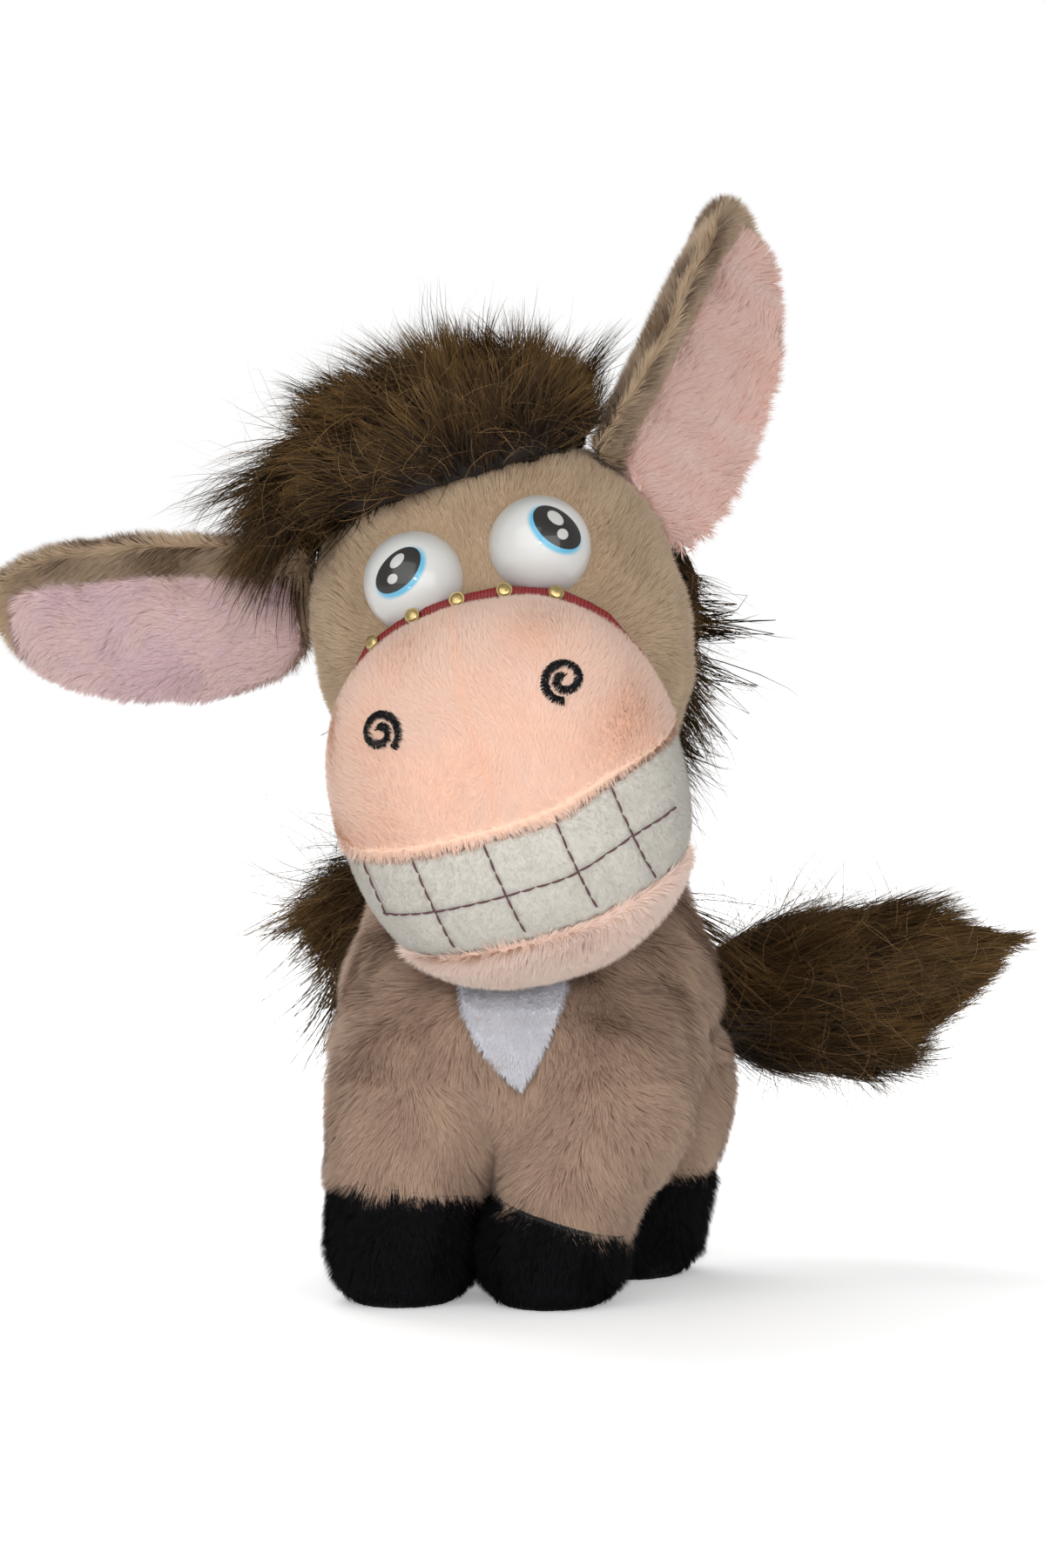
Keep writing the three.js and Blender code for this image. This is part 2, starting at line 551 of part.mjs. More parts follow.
// Ears: a tan leaf behind and a pink leaf in front, cupped, pinched thin where they are sewn on
function earHalfWidth(share, width) {
  const wide = EAR_WIDEST;
  if (share < wide) {
    const part = share / wide;
    return EAR_ROOT_WIDTH / 2 + ((width - EAR_ROOT_WIDTH) / 2) * Math.sin((part * Math.PI) / 2);
  }
  const part = (share - wide) / (1 - wide);
  return (width / 2) * Math.sqrt(Math.max(0, 1 - part ** 2.4));
}
function leaf(side, at, start, end, widthShare, nearOffset, thick) {
  const layers = [0, 1].map((layer) => {
    const grid = [];
    for (let i = 0; i <= EAR_ROWS; i += 1) {
      const share = start + (end - start) * (1 - (1 - i / EAR_ROWS) ** 1.35);
      const half = Math.max(earHalfWidth(share, at.width) * widthShare, EAR_TIP_HALF);
      const rooted = EAR_PINCH + (1 - EAR_PINCH) * Math.min(1, share / EAR_PINCH_END);
      for (let j = 0; j <= EAR_COLUMNS; j += 1) {
        const across = (2 * j) / EAR_COLUMNS - 1;
        const cup = -at.cup * across * across * (half / (at.width / 2)) ** 2;
        const plump = thick * rooted * (1 - (1 - EAR_EDGE) * across * across);
        grid.push([side * share * EAR_LENGTH, cup + nearOffset + layer * plump, across * half]);
      }
    }
    return grid;
  });
  const points = [...layers[0], ...layers[1]].flat();
  const width = EAR_COLUMNS + 1;
  const count = (EAR_ROWS + 1) * width;
  const faces = [];
  const quad = (a, b, c, d) => faces.push(a, b, c, a, c, d);
  for (let i = 0; i < EAR_ROWS; i += 1) {
    for (let j = 0; j < EAR_COLUMNS; j += 1) {
      const a = i * width + j;
      quad(a, a + width, a + width + 1, a + 1);
      quad(count + a, count + a + 1, count + a + width + 1, count + a + width);
    }
    const edge = i * width;
    quad(edge, count + edge, count + edge + width, edge + width);
    const far = edge + EAR_COLUMNS;
    quad(far, far + width, count + far + width, count + far);
  }
  for (let j = 0; j < EAR_COLUMNS; j += 1) {
    quad(j, j + 1, count + j + 1, count + j);
    const tip = EAR_ROWS * width + j;
    quad(tip, count + tip, count + tip + 1, tip + 1);
  }
  if (side * thick < 0) faces.reverse();
  const geometry = new THREE.BufferGeometry();
  geometry.setAttribute('position', new THREE.BufferAttribute(new Float32Array(points), 3));
  geometry.setIndex(faces);
  return toSolid(geometry);
}
function addEar(name, side, at) {
  const ear = new THREE.Group();
  ear.name = name;
  ear.position.set(at.x, at.y, at.z);
  ear.rotation.set(radians(at.twist), radians(-side * at.rise), radians(side * at.lean), 'YZX');
  head.add(ear);
  ear.updateMatrix();
  const seat = toSolid(toGeometry(skullForm(EAR_SEAT)).applyMatrix4(ear.matrix.clone().invert()));
  const seats = EAR_SWEEP.map((angle) => seat.rotate([0, 0, -angle]));
  addPiece(ear, `${name}_outer`, cut(leaf(side, at, 0, 1, 1, 0, EAR_OUTER), ...seats), COLOUR.tan);
  addPiece(ear, `${name}_inner`, leaf(side, at, EAR_INNER_START, EAR_INNER_END, EAR_INNER_SHARE,
    -EAR_LAYER_GAP, -EAR_INNER), COLOUR.ear);
}
addEar('ear_left', 1, EAR_LEFT_AT);
addEar('ear_right', -1, EAR_RIGHT_AT);

// Hair: forelock and crest on the head, mane on the neck
const aboveHairline = block(-WIDE, WIDE, -WIDE, WIDE, HAIRLINE_Z, WIDE);
addPiece(head, 'forelock', cut(swelling(FORELOCK), skullSeat).intersect(aboveHairline), COLOUR.hair);
addPiece(head, 'mane_crest', cut(swelling(CREST), skullSeat, swelling(FORELOCK, GAP),
  neckSeatInHead), COLOUR.hair);
addPiece(donkey, 'neck_mane', cut(swelling(NECK_MANE), torsoSeat, neckSeat), COLOUR.hair);

// Tail: a short sewn stub and the long tuft on it
const stubPath = [TAIL_ROOT, TAIL_JOINT].map((p) => new THREE.Vector3(p.x, p.y, p.z));
const stubEnds = [TAIL_ROOT, TAIL_JOINT].map((centre) => ball(centre, STUB_RADIUS, 10, 8));
addPiece(donkey, 'tail_stub', join(tube(stubPath, STUB_RADIUS, 1, 10), ...stubEnds), COLOUR.hair);
const tuft = new THREE.Group();
tuft.name = 'tail';
tuft.position.set(TAIL_JOINT.x, TAIL_JOINT.y, TAIL_JOINT.z);
tuft.rotation.set(0, radians(90 - TAIL_RISE), 0);
donkey.add(tuft);
const tuftRadius = (share) => TAIL_THICK * Math.sin(Math.PI * share ** 0.75) ** 0.8;
const tuftSections = TUFT_SHARES.map((share) => ({
  x: TAIL_SAG * Math.sin(Math.PI * share),
  y: 0,
  z: TAIL_SEAT + share * TAIL_LENGTH,
  rx: 0.8 + tuftRadius(share),
  ry: (0.8 + tuftRadius(share)) * TAIL_FLATNESS,
}));
addPiece(tuft, 'tail_tuft', stacked(tuftSections, 12), COLOUR.hair);

// The origin goes under the middle of the toy's box
donkey.updateMatrixWorld(true);
const box = new THREE.Box3().setFromObject(donkey, true);
donkey.position.set(-(box.min.x + box.max.x) / 2, -(box.min.y + box.max.y) / 2, -box.min.z);
donkey.updateMatrixWorld(true);

export default donkey;
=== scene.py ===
"""Looks of a small plush donkey with dome eyes, a studded noseband and long brown hair.

Metres, +Z up. The donkey looks along -Y and its left side is +X.
"""

import json
import logging
import math
from collections.abc import Callable
from dataclasses import dataclass, field, replace
from enum import Enum

import bmesh
import bpy
import numpy as np
from mathutils import Matrix, Vector
from mathutils.bvhtree import BVHTree
from mathutils.kdtree import KDTree


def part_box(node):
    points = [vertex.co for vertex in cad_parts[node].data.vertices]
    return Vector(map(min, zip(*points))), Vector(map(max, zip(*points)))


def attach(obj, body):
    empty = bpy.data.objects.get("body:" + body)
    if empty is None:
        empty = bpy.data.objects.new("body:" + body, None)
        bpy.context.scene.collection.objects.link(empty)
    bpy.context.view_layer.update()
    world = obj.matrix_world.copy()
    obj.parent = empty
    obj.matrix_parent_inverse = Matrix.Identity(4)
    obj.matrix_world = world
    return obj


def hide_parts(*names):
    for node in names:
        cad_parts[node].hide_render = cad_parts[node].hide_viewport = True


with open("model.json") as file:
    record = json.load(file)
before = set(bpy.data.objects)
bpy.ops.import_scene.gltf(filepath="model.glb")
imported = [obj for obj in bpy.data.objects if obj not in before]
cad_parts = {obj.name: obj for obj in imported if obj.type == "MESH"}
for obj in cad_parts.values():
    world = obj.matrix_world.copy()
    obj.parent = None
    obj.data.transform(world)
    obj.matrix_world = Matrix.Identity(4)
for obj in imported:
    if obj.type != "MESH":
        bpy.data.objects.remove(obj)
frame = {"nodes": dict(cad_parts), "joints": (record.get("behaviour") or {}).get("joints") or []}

log = logging.getLogger("donkey")
MM = 0.001
STRAND_MAP = "OFBake"
FLOOR_GAP = 0.05 * MM
REAR = 63 * MM
PILE_ROOT = 0.12 * MM
HAIR_GAP = 0.3 * MM
LEGS = ("front_left", "front_right", "hind_left", "hind_right")
Field = Callable[[np.ndarray, np.ndarray], np.ndarray]


def paint(red: int, green: int, blue: int) -> tuple[float, float, float, float]:
    """Turns an 8-bit screen colour into the linear colour that shaders take.

    Args:
        red: Red, 0 to 255.
        green: Green, 0 to 255.
        blue: Blue, 0 to 255.

    Returns:
        Linear red, green, blue and an alpha of 1.
    """
    def linear(level: int) -> float:
        """Undoes the screen's curve for one channel."""
        share = level / 255
        return share / 12.92 if share <= 0.04045 else ((share + 0.055) / 1.055) ** 2.4
    return linear(red), linear(green), linear(blue), 1.0


def scaled(colour: tuple, share: float, more: float = 0.0) -> tuple:
    """A colour made darker or lighter, and no lighter than white."""
    return tuple(min(1.0, level * share + more) for level in colour[:3]) + (1.0,)


def unit(vectors: np.ndarray) -> np.ndarray:
    """Scales each row to length 1."""
    return vectors / np.maximum(np.linalg.norm(vectors, axis=-1, keepdims=True), 1e-12)


def along_surface(vectors: np.ndarray, normals: np.ndarray) -> np.ndarray:
    """Takes away what points out of the surface and scales the rest to length 1."""
    return unit(vectors - normals * np.sum(vectors * normals, axis=-1, keepdims=True))


def drift(points: np.ndarray, scale: float, seed: int) -> np.ndarray:
    """A smooth wandering value over space, about -1 to 1.

    Args:
        points: Where it is read, in metres.
        scale: Rough distance between a high and the next low.
        seed: Chooses the pattern.

    Returns:
        One value for each point.
    """
    rng = np.random.default_rng(seed)
    total = np.zeros(len(points))
    for _ in range(6):
        wave = unit(rng.normal(size=(1, 3)))[0] * math.pi / scale * rng.uniform(0.6, 1.5)
        total += np.sin(points @ wave + rng.uniform(0, 2 * math.pi))
    return total / 3


class Side(Enum):
    """The toy's own left or right, with the sign of its X."""

    LEFT = 1
    RIGHT = -1

    @property
    def word(self) -> str:
        """The side as it stands in a piece's name."""
        return self.name.lower()



# Finishes
class Shader:
    """A node material that is put together one node at a time."""

    def __init__(self, name: str) -> None:
        """Makes an empty material with a Principled shader.

        Args:
            name: The material's name.
        """
        self.material = bpy.data.materials.new(name)
        self.material.use_nodes = True
        self.nodes = self.material.node_tree.nodes
        self.links = self.material.node_tree.links
        self.surface = self.nodes["Principled BSDF"]

    def add(self, kind: str, **inputs: object) -> bpy.types.Node:
        """Adds a node and sets or links its inputs.

        Args:
            kind: The node's type name.
            **inputs: Socket names, with spaces as underscores, and a value or an output to link.

        Returns:
            The new node.
        """
        node = self.nodes.new(kind)
        for name, value in inputs.items():
            self.put(node.inputs[name.replace("_", " ")], value)
        return node

    def place(self) -> bpy.types.NodeSocket:
        """The output with the place on the object."""
        return self.nodes.new("ShaderNodeTexCoord").outputs["Object"]

    def grain(self, size: float, detail: float) -> bpy.types.NodeSocket:
        """The output with a noise of one size over the object."""
        return self.add("ShaderNodeTexNoise", Vector=self.place(), Scale=1 / size,
                        Detail=detail).outputs["Fac"]

    def vector(self, operation: str, *values: object) -> bpy.types.Node:
        """Adds an operation on vectors.

        Args:
            operation: The name of the operation.
            *values: What it works on, values or outputs.

        Returns:
            The new node.
        """
        node = self.nodes.new("ShaderNodeVectorMath")
        node.operation = operation
        for socket, value in zip(node.inputs, values):
            self.put(socket, value)
        return node

    def put(self, socket: bpy.types.NodeSocket, value: object) -> None:
        """Links a socket to an output, or sets its plain value."""
        if isinstance(value, bpy.types.NodeSocket):
            self.links.new(value, socket)
        else:
            socket.default_value = value

    def sum(self, operation: str, first: object, second: object, clamp: bool = False) -> object:
        """Works out a value from two others.

        Args:
            operation: The name of the operation.
            first: A value or an output.
            second: A value or an output.
            clamp: Whether the result is held between 0 and 1.

        Returns:
            The output with the result.
        """
        node = self.nodes.new("ShaderNodeMath")
        node.operation = operation
        node.use_clamp = clamp
        self.put(node.inputs[0], first)
        self.put(node.inputs[1], second)
        return node.outputs[0]

    def ramp(self, factor: object, stops: list[tuple[float, tuple]]) -> object:
        """Turns a value into a colour.

        Args:
            factor: The output that is read.
            stops: Place and colour of each stop.

        Returns:
            The output with the colour.
        """
        node = self.add("ShaderNodeValToRGB", Fac=factor)
        ramp = node.color_ramp
        while len(ramp.elements) < len(stops):
            ramp.elements.new(0.5)
        for element, (place, colour) in zip(ramp.elements, stops):
            element.position = place
            element.color = colour
        return node.outputs["Color"]

    def blend(self, factor: object, low: object, high: object, mode: str = "MIX") -> object:
        """Mixes two colours.

        Args:
            factor: How much of the second shows.
            low: The first colour.
            high: The second colour.
            mode: How they are mixed.

        Returns:
            The output with the colour.
        """
        node = self.nodes.new("ShaderNodeMix")
        node.data_type = "RGBA"
        node.blend_type = mode
        self.put(node.inputs[0], factor)
        self.put(node.inputs[6], low)
        self.put(node.inputs[7], high)
        return node.outputs[2]

    def finish(self, **values: object) -> bpy.types.Material:
        """Sets the Principled shader's sockets and returns the material."""
        for name, value in values.items():
            self.put(self.surface.inputs[name.replace("_", " ")], value)
        return self.material


@dataclass(frozen=True)
class Fibre:
    """The colour of one kind of fibre, from root to tip, with a spread among fibres.

    Attributes:
        name: The material's name.
        root: Colour at the root, darker than the tip as painted shade deep in the pile.
        middle: Colour halfway.
        tip: Colour at the tip.
        dark: What the darkest fibres are multiplied by.
        light: What the lightest fibres are multiplied by.
        roughness: Roughness of the fibre.
        sheen: Weight of the soft glow at grazing angles.
        gloss: How much it shines.
    """

    name: str
    root: tuple
    middle: tuple
    tip: tuple
    dark: tuple = (0.72, 0.72, 0.72, 1)
    light: tuple = (1.18, 1.18, 1.18, 1)
    roughness: float = 0.85
    sheen: float = 0.15
    gloss: float = 0.2

    def material(self) -> bpy.types.Material:
        """Makes the material, which reads the strand map: across is the shade, up is root to tip."""
        if self.name in bpy.data.materials:
            return bpy.data.materials[self.name]
        shader = Shader(self.name)
        strand = shader.nodes.new("ShaderNodeUVMap")
        strand.uv_map = STRAND_MAP
        split = shader.add("ShaderNodeSeparateXYZ", Vector=strand.outputs["UV"])
        # The ramp's darker root end is painted shade deep among the fibres.
        length = shader.ramp(split.outputs["Y"], [(0.0, self.root), (0.45, self.middle), (1.0, self.tip)])
        shade = shader.ramp(split.outputs["X"], [(0.1, self.dark), (0.9, self.light)])
        colour = shader.blend(1.0, length, shade, "MULTIPLY")
        return shader.finish(Base_Color=colour, Roughness=self.roughness, Sheen_Weight=self.sheen,
                             Sheen_Roughness=0.5, Specular_IOR_Level=self.gloss)


@dataclass(frozen=True)
class Cloth:
    """Knitted cloth that a pile stands on.

    Attributes:
        name: The material's name.
        colour: Colour of the cloth.
        shade: What its darker places are multiplied by.
        mottle: Size of the lighter and darker places.
    """

    name: str
    colour: tuple
    shade: float = 0.85
    mottle: float = 2.5 * MM

    def material(self) -> bpy.types.Material:
        """Makes the material, mottled and with a fine knit in its bump."""
        if self.name in bpy.data.materials:
            return bpy.data.materials[self.name]
        shader = Shader(self.name)
        stops = [(0.3, scaled(self.colour, self.shade)), (0.7, self.colour)]
        colour = shader.ramp(shader.grain(self.mottle, 4.0), stops)
        knit = shader.add("ShaderNodeTexVoronoi", Vector=shader.place(), Scale=1 / (0.35 * MM))
        bump = shader.add("ShaderNodeBump", Height=knit.outputs["Distance"], Strength=0.5,
                          Distance=0.1 * MM)
        return shader.finish(Base_Color=colour, Roughness=0.95, Normal=bump.outputs["Normal"])


@dataclass(frozen=True)
class Thread:
    """Twisted sewing thread.

    Attributes:
        name: The material's name.
        colour: Colour of the thread.
        roughness: Lower is shinier.
        gloss: How much it shines.
    """

    name: str
    colour: tuple
    roughness: float = 0.5
    gloss: float = 0.2

    def material(self) -> bpy.types.Material:
        """Makes the material, with the thread's twist as painted highlight and shade along it, and in its
        bump.
        """
        if self.name in bpy.data.materials:
            return bpy.data.materials[self.name]
        shader = Shader(self.name)
        twist = shader.grain(0.25 * MM, 3.0)
        # Lighter and darker streaks along the twist are painted highlight and painted shade; the same noise
        # also drives the bump.
        colour = shader.ramp(twist, [(0.35, self.colour), (0.75, scaled(self.colour, 1.6, 0.01))])
        bump = shader.add("ShaderNodeBump", Height=twist, Strength=0.4, Distance=0.05 * MM)
        return shader.finish(Base_Color=colour, Roughness=self.roughness, Specular_IOR_Level=self.gloss,
                             Normal=bump.outputs["Normal"])


@dataclass(frozen=True)
class Plastic:
    """Moulded plastic.

    Attributes:
        name: The material's name.
        colour: Its colour.
        roughness: Lower is shinier.
    """

    name: str
    colour: tuple
    roughness: float = 0.4

    def material(self) -> bpy.types.Material:
        """Makes the material, with faint mould marks."""
        shader = Shader(self.name)
        stops = [(0.3, scaled(self.colour, 0.9)), (0.7, self.colour)]
        colour = shader.ramp(shader.grain(2 * MM, 3.0), stops)
        return shader.finish(Base_Color=colour, Roughness=self.roughness)


@dataclass(frozen=True)
class Brass:
    """Polished thin brass, a little dull in places.

    Attributes:
        name: The material's name.
        colour: Its colour.
    """

    name: str
    colour: tuple

    def material(self) -> bpy.types.Material:
        """Makes the material, with handling marks in its roughness."""
        shader = Shader(self.name)
        marks = shader.grain(0.5 * MM, 4.0)
        rough = shader.add("ShaderNodeMapRange", Value=marks, To_Min=0.2, To_Max=0.42)
        colour = shader.ramp(marks, [(0.3, scaled(self.colour, 0.7)), (0.7, self.colour)])
        return shader.finish(Base_Color=colour, Metallic=1.0, Roughness=rough.outputs["Result"])


@dataclass(frozen=True)
class Tape:
    """Woven ribbed tape.

    Attributes:
        name: The material's name.
        colour: Its colour.
        rib: Distance between two ribs.
    """

    name: str
    colour: tuple
    rib: float = 0.45 * MM

    def material(self) -> bpy.types.Material:
        """Makes the material, with ribs across and a finer weft, with painted shade in the grooves and
        painted highlight on the ribs.
        """
        shader = Shader(self.name)
        ribs = shader.add("ShaderNodeTexWave", Vector=shader.place(), Scale=0.314 / self.rib,
                          Distortion=1.5, Detail=2.0).outputs["Fac"]
        # Painted shade in the grooves between ribs and painted highlight on their crests, on top of the ribs'
        # bump.
        stops = [(0.1, scaled(self.colour, 0.5)), (0.6, self.colour), (0.95, scaled(self.colour, 1.35))]
        colour = shader.ramp(ribs, stops)
        height = shader.sum("ADD", ribs, shader.grain(0.2 * MM, 3.0))
        bump = shader.add("ShaderNodeBump", Height=height, Strength=0.5, Distance=0.12 * MM)
        return shader.finish(Base_Color=colour, Roughness=0.55, Normal=bump.outputs["Normal"])


TAN = Fibre("tan_pile", paint(172, 146, 118), paint(186, 161, 133), paint(202, 179, 151),
            (0.78, 0.75, 0.72, 1), (1.12, 1.12, 1.12, 1))
TAN_LEG = Fibre("tan_leg_pile", paint(162, 134, 114), paint(178, 150, 129), paint(196, 171, 150),
                (0.78, 0.73, 0.73, 1), (1.13, 1.12, 1.1, 1))
PEACH = Fibre("peach_pile", paint(238, 204, 184), paint(243, 212, 194), paint(246, 219, 204),
              (1.03, 0.93, 0.86, 1), (0.99, 1.01, 1.03, 1), sheen=0.1)
LIP = Fibre("lip_pile", paint(236, 206, 190), paint(243, 218, 204), paint(248, 229, 218),
            (0.98, 0.92, 0.88, 1), (1.02, 1.02, 1.02, 1), sheen=0.1)
CREAM = Fibre("cream_pile", paint(182, 178, 168), paint(193, 189, 180), paint(201, 197, 188),
              (0.97, 0.97, 0.95, 1), (1.02, 1.02, 1.02, 1), sheen=0.05)
WHITE = Fibre("white_pile", paint(200, 200, 206), paint(214, 214, 220), paint(222, 222, 228),
              (0.97, 0.97, 0.98, 1), (1.02, 1.02, 1.02, 1), sheen=0.05)
EAR_WARM = Fibre("ear_warm_pile", paint(222, 180, 166), paint(226, 194, 184), paint(230, 208, 201),
                 (1.0, 0.87, 0.82, 1), (1.02, 1.03, 1.03, 1), sheen=0.1)
EAR_COOL = Fibre("ear_cool_pile", paint(216, 182, 178), paint(224, 195, 189), paint(232, 210, 204),
                 (0.93, 0.9, 1.01, 1), (1.03, 1.02, 1.0, 1), sheen=0.1)
BLACK = Fibre("black_pile", paint(3, 3, 5), paint(8, 8, 10), paint(17, 17, 21),
              (0.7, 0.7, 0.7, 1), (1.3, 1.3, 1.3, 1), roughness=0.8, sheen=0.0, gloss=0.12)
HAIR = Fibre("hair_strands", paint(28, 19, 9), paint(64, 46, 23), paint(112, 86, 50),
             (0.36, 0.33, 0.28, 1), (1.6, 1.55, 1.45, 1), roughness=0.6, sheen=0.0, gloss=0.15)
# Lighter than the hair, as painted light that thin loose hairs catch against the bright backdrop.
WISP = Fibre("wisp_strands", paint(84, 62, 36), paint(134, 106, 70), paint(172, 144, 106),
             (0.66, 0.64, 0.6, 1), (1.25, 1.22, 1.2, 1), roughness=0.6, sheen=0.0, gloss=0.15)


# Soft forms, pile and hair
def added(name: str, data: bpy.types.ID) -> bpy.types.Object:
    """Makes an object of some data and adds it to the scene.

    Args:
        name: The object's name.
        data: Its mesh, lamp or camera.

    Returns:
        The object.
    """
    thing = bpy.data.objects.new(name, data)
    bpy.context.collection.objects.link(thing)
    return thing


def read(mesh: bpy.types.Mesh, what: str) -> np.ndarray:
    """Reads one vector of each vertex.

    Args:
        mesh: The mesh.
        what: "co" for where it lies or "normal" for the way it faces.

    Returns:
        One row for each vertex.
    """
    values = np.zeros(len(mesh.vertices) * 3)
    mesh.vertices.foreach_get(what, values)
    return values.reshape(-1, 3)


def write(mesh: bpy.types.Mesh, place: np.ndarray) -> None:
    """Moves the vertices of a mesh."""
    mesh.vertices.foreach_set("co", place.reshape(-1))
    mesh.update()


def solid_copy(name: str, nodes: list[str], voxel: float, rounds: int,
               swell: float = 0.0) -> bpy.types.Object:
    """Joins copies of CAD solids into one smooth closed form.

    Args:
        name: The new piece's name.
        nodes: The CAD solids that it fills.
        voxel: Size of the cells that it is rebuilt from.
        rounds: How many times it is smoothed.
        swell: How far its surface is moved out afterwards.

    Returns:
        The new piece.
    """
    bpy.ops.object.select_all(action="DESELECT")
    copies = []
    for node in nodes:
        copy = added(name, frame["nodes"][node].data.copy())
        copy.select_set(True)
        copies.append(copy)
    piece = copies[0]
    bpy.context.view_layer.objects.active = piece
    if len(copies) > 1:
        bpy.ops.object.join()
    piece.name = name
    piece.data.materials.clear()
    while piece.data.uv_layers:
        piece.data.uv_layers.remove(piece.data.uv_layers[0])
    remesh = piece.modifiers.new("cells", "REMESH")
    remesh.mode = "VOXEL"
    remesh.voxel_size = voxel
    bpy.ops.object.modifier_apply(modifier=remesh.name)
    smooth = piece.modifiers.new("smooth", "SMOOTH")
    smooth.factor = 0.5
    smooth.iterations = rounds
    bpy.ops.object.modifier_apply(modifier=smooth.name)
    if swell:
        grow = piece.modifiers.new("swell", "DISPLACE")
        grow.strength = swell
        grow.mid_level = 0.0
        bpy.ops.object.modifier_apply(modifier=grow.name)
    bpy.ops.object.shade_smooth()
    return piece


def cut_level(piece: bpy.types.Object, height: float, keep_above: bool, slope: float = 0.0,
              at: float = 0.0) -> None:
    """Cuts a form off at a level or slanting plane and closes it there.

    Args:
        piece: The form.
        height: The plane's height.
        keep_above: Whether the upper part stays.
        slope: How far the plane rises for each step along X.
        at: The X where it has its height.
    """
    bpy.ops.object.select_all(action="DESELECT")
    bpy.context.view_layer.objects.active = piece
    piece.select_set(True)
    bpy.ops.object.mode_set(mode="EDIT")
    bpy.ops.mesh.select_all(action="SELECT")
    bpy.ops.mesh.bisect(plane_co=(at, 0, height), plane_no=(-slope, 0, 1), use_fill=True,
                        clear_inner=keep_above, clear_outer=not keep_above)
    bpy.ops.object.mode_set(mode="OBJECT")


@dataclass
class Surface:
    """A form's triangles, ready to be sampled and to be hit by rays."""

    piece: bpy.types.Object
    corners: np.ndarray = field(init=False)
    normals: np.ndarray = field(init=False)
    areas: np.ndarray = field(init=False)
    tree: BVHTree = field(init=False)

    def __post_init__(self) -> None:
        """Reads the mesh once."""
        mesh = self.piece.data
        mesh.calc_loop_triangles()
        place = read(mesh, "co")
        index = np.zeros(len(mesh.loop_triangles) * 3, int)
        mesh.loop_triangles.foreach_get("vertices", index)
        index = index.reshape(-1, 3)
        self.corners = place[index]
        self.normals = read(mesh, "normal")[index]
        sides = self.corners[:, 1:] - self.corners[:, :1]
        self.areas = np.linalg.norm(np.cross(sides[:, 0], sides[:, 1]), axis=1) / 2
        self.tree = BVHTree.FromPolygons([tuple(p) for p in place], index.tolist())

    def sample(self, count: int, rng: np.random.Generator) -> tuple[np.ndarray, np.ndarray]:
        """Picks points evenly over the surface.

        Args:
            count: How many.
            rng: The source of chance.

        Returns:
            The points and the surface's normals there.
        """
        pick = rng.choice(len(self.areas), count, p=self.areas / self.areas.sum())
        first, second = rng.random((2, count, 1))
        root = np.sqrt(first)
        share = np.concatenate([1 - root, root * (1 - second), root * second], axis=1)[..., None]
        return (self.corners[pick] * share).sum(1), unit((self.normals[pick] * share).sum(1))


def ribbons(name: str, paths: np.ndarray, across: np.ndarray, normals: np.ndarray, widths: np.ndarray,
            shades: np.ndarray, material: bpy.types.Material) -> bpy.types.Object:
    """Makes one mesh of many thin blades, each along its own path.

    Args:
        name: The piece's name.
        paths: Points of each blade from root to tip, blades by points by 3.
        across: The way each blade's width runs.
        normals: The way each blade is lit, blades by 3.
        widths: Width of each blade at its root.
        shades: Place of each blade on the shade ramp, 0 to 1.
        material: The fibres' material.

    Returns:
        The new piece.
    """
    count, points = paths.shape[:2]
    steps = points - 1
    taper = (1 - np.linspace(0, 1, points)[:-1] ** 1.6)[None, :, None]
    offset = across[:, None, :] * widths[:, None, None] * taper / 2
    pairs = np.stack([paths[:, :-1] - offset, paths[:, :-1] + offset], axis=2).reshape(count, steps * 2, 3)
    corners = np.concatenate([pairs, paths[:, -1:]], axis=1)
    each = steps * 2 + 1
    faces = []
    for k in range(steps - 1):
        low = 2 * k
        faces += [(low, low + 1, low + 3), (low, low + 3, low + 2)]
    faces.append((each - 3, each - 2, each - 1))
    index = (np.array(faces)[None] + (np.arange(count) * each)[:, None, None]).reshape(-1)
    mesh = bpy.data.meshes.new(name)
    mesh.vertices.add(count * each)
    mesh.vertices.foreach_set("co", corners.reshape(-1))
    mesh.loops.add(len(index))
    mesh.loops.foreach_set("vertex_index", index)
    mesh.polygons.add(len(index) // 3)
    mesh.polygons.foreach_set("loop_start", np.arange(0, len(index), 3))
    mesh.polygons.foreach_set("use_smooth", np.ones(len(index) // 3, bool))
    mesh.update(calc_edges=True)
    sideways = np.where(np.arange(each) % 2 == 0, -0.004, 0.004)
    upward = np.minimum(np.arange(each) // 2 / steps, 0.995)
    strand = np.zeros((count, each, 2))
    strand[..., 0] = np.clip(shades, 0.01, 0.99)[:, None] + sideways
    strand[..., 1] = upward
    layer = mesh.uv_layers.new(name=STRAND_MAP)
    layer.uv.foreach_set("vector", strand.reshape(-1, 2)[index].reshape(-1))
    mesh.normals_split_custom_set_from_vertices(np.repeat(normals, each, axis=0).tolist())
    mesh.materials.append(material)
    return added(name, mesh)


def turned(vectors: np.ndarray, axes: np.ndarray, angles: np.ndarray) -> np.ndarray:
    """Turns each vector about its own axis, which is square to it."""
    return vectors * np.cos(angles)[:, None] + np.cross(axes, vectors) * np.sin(angles)[:, None]


def facing_out(across: np.ndarray, forward: np.ndarray, normals: np.ndarray) -> np.ndarray:
    """Flips the widths of blades whose front would face into the surface."""
    front = np.sum(np.cross(across, forward) * normals, axis=1, keepdims=True)
    return np.where(front < 0, -across, across)


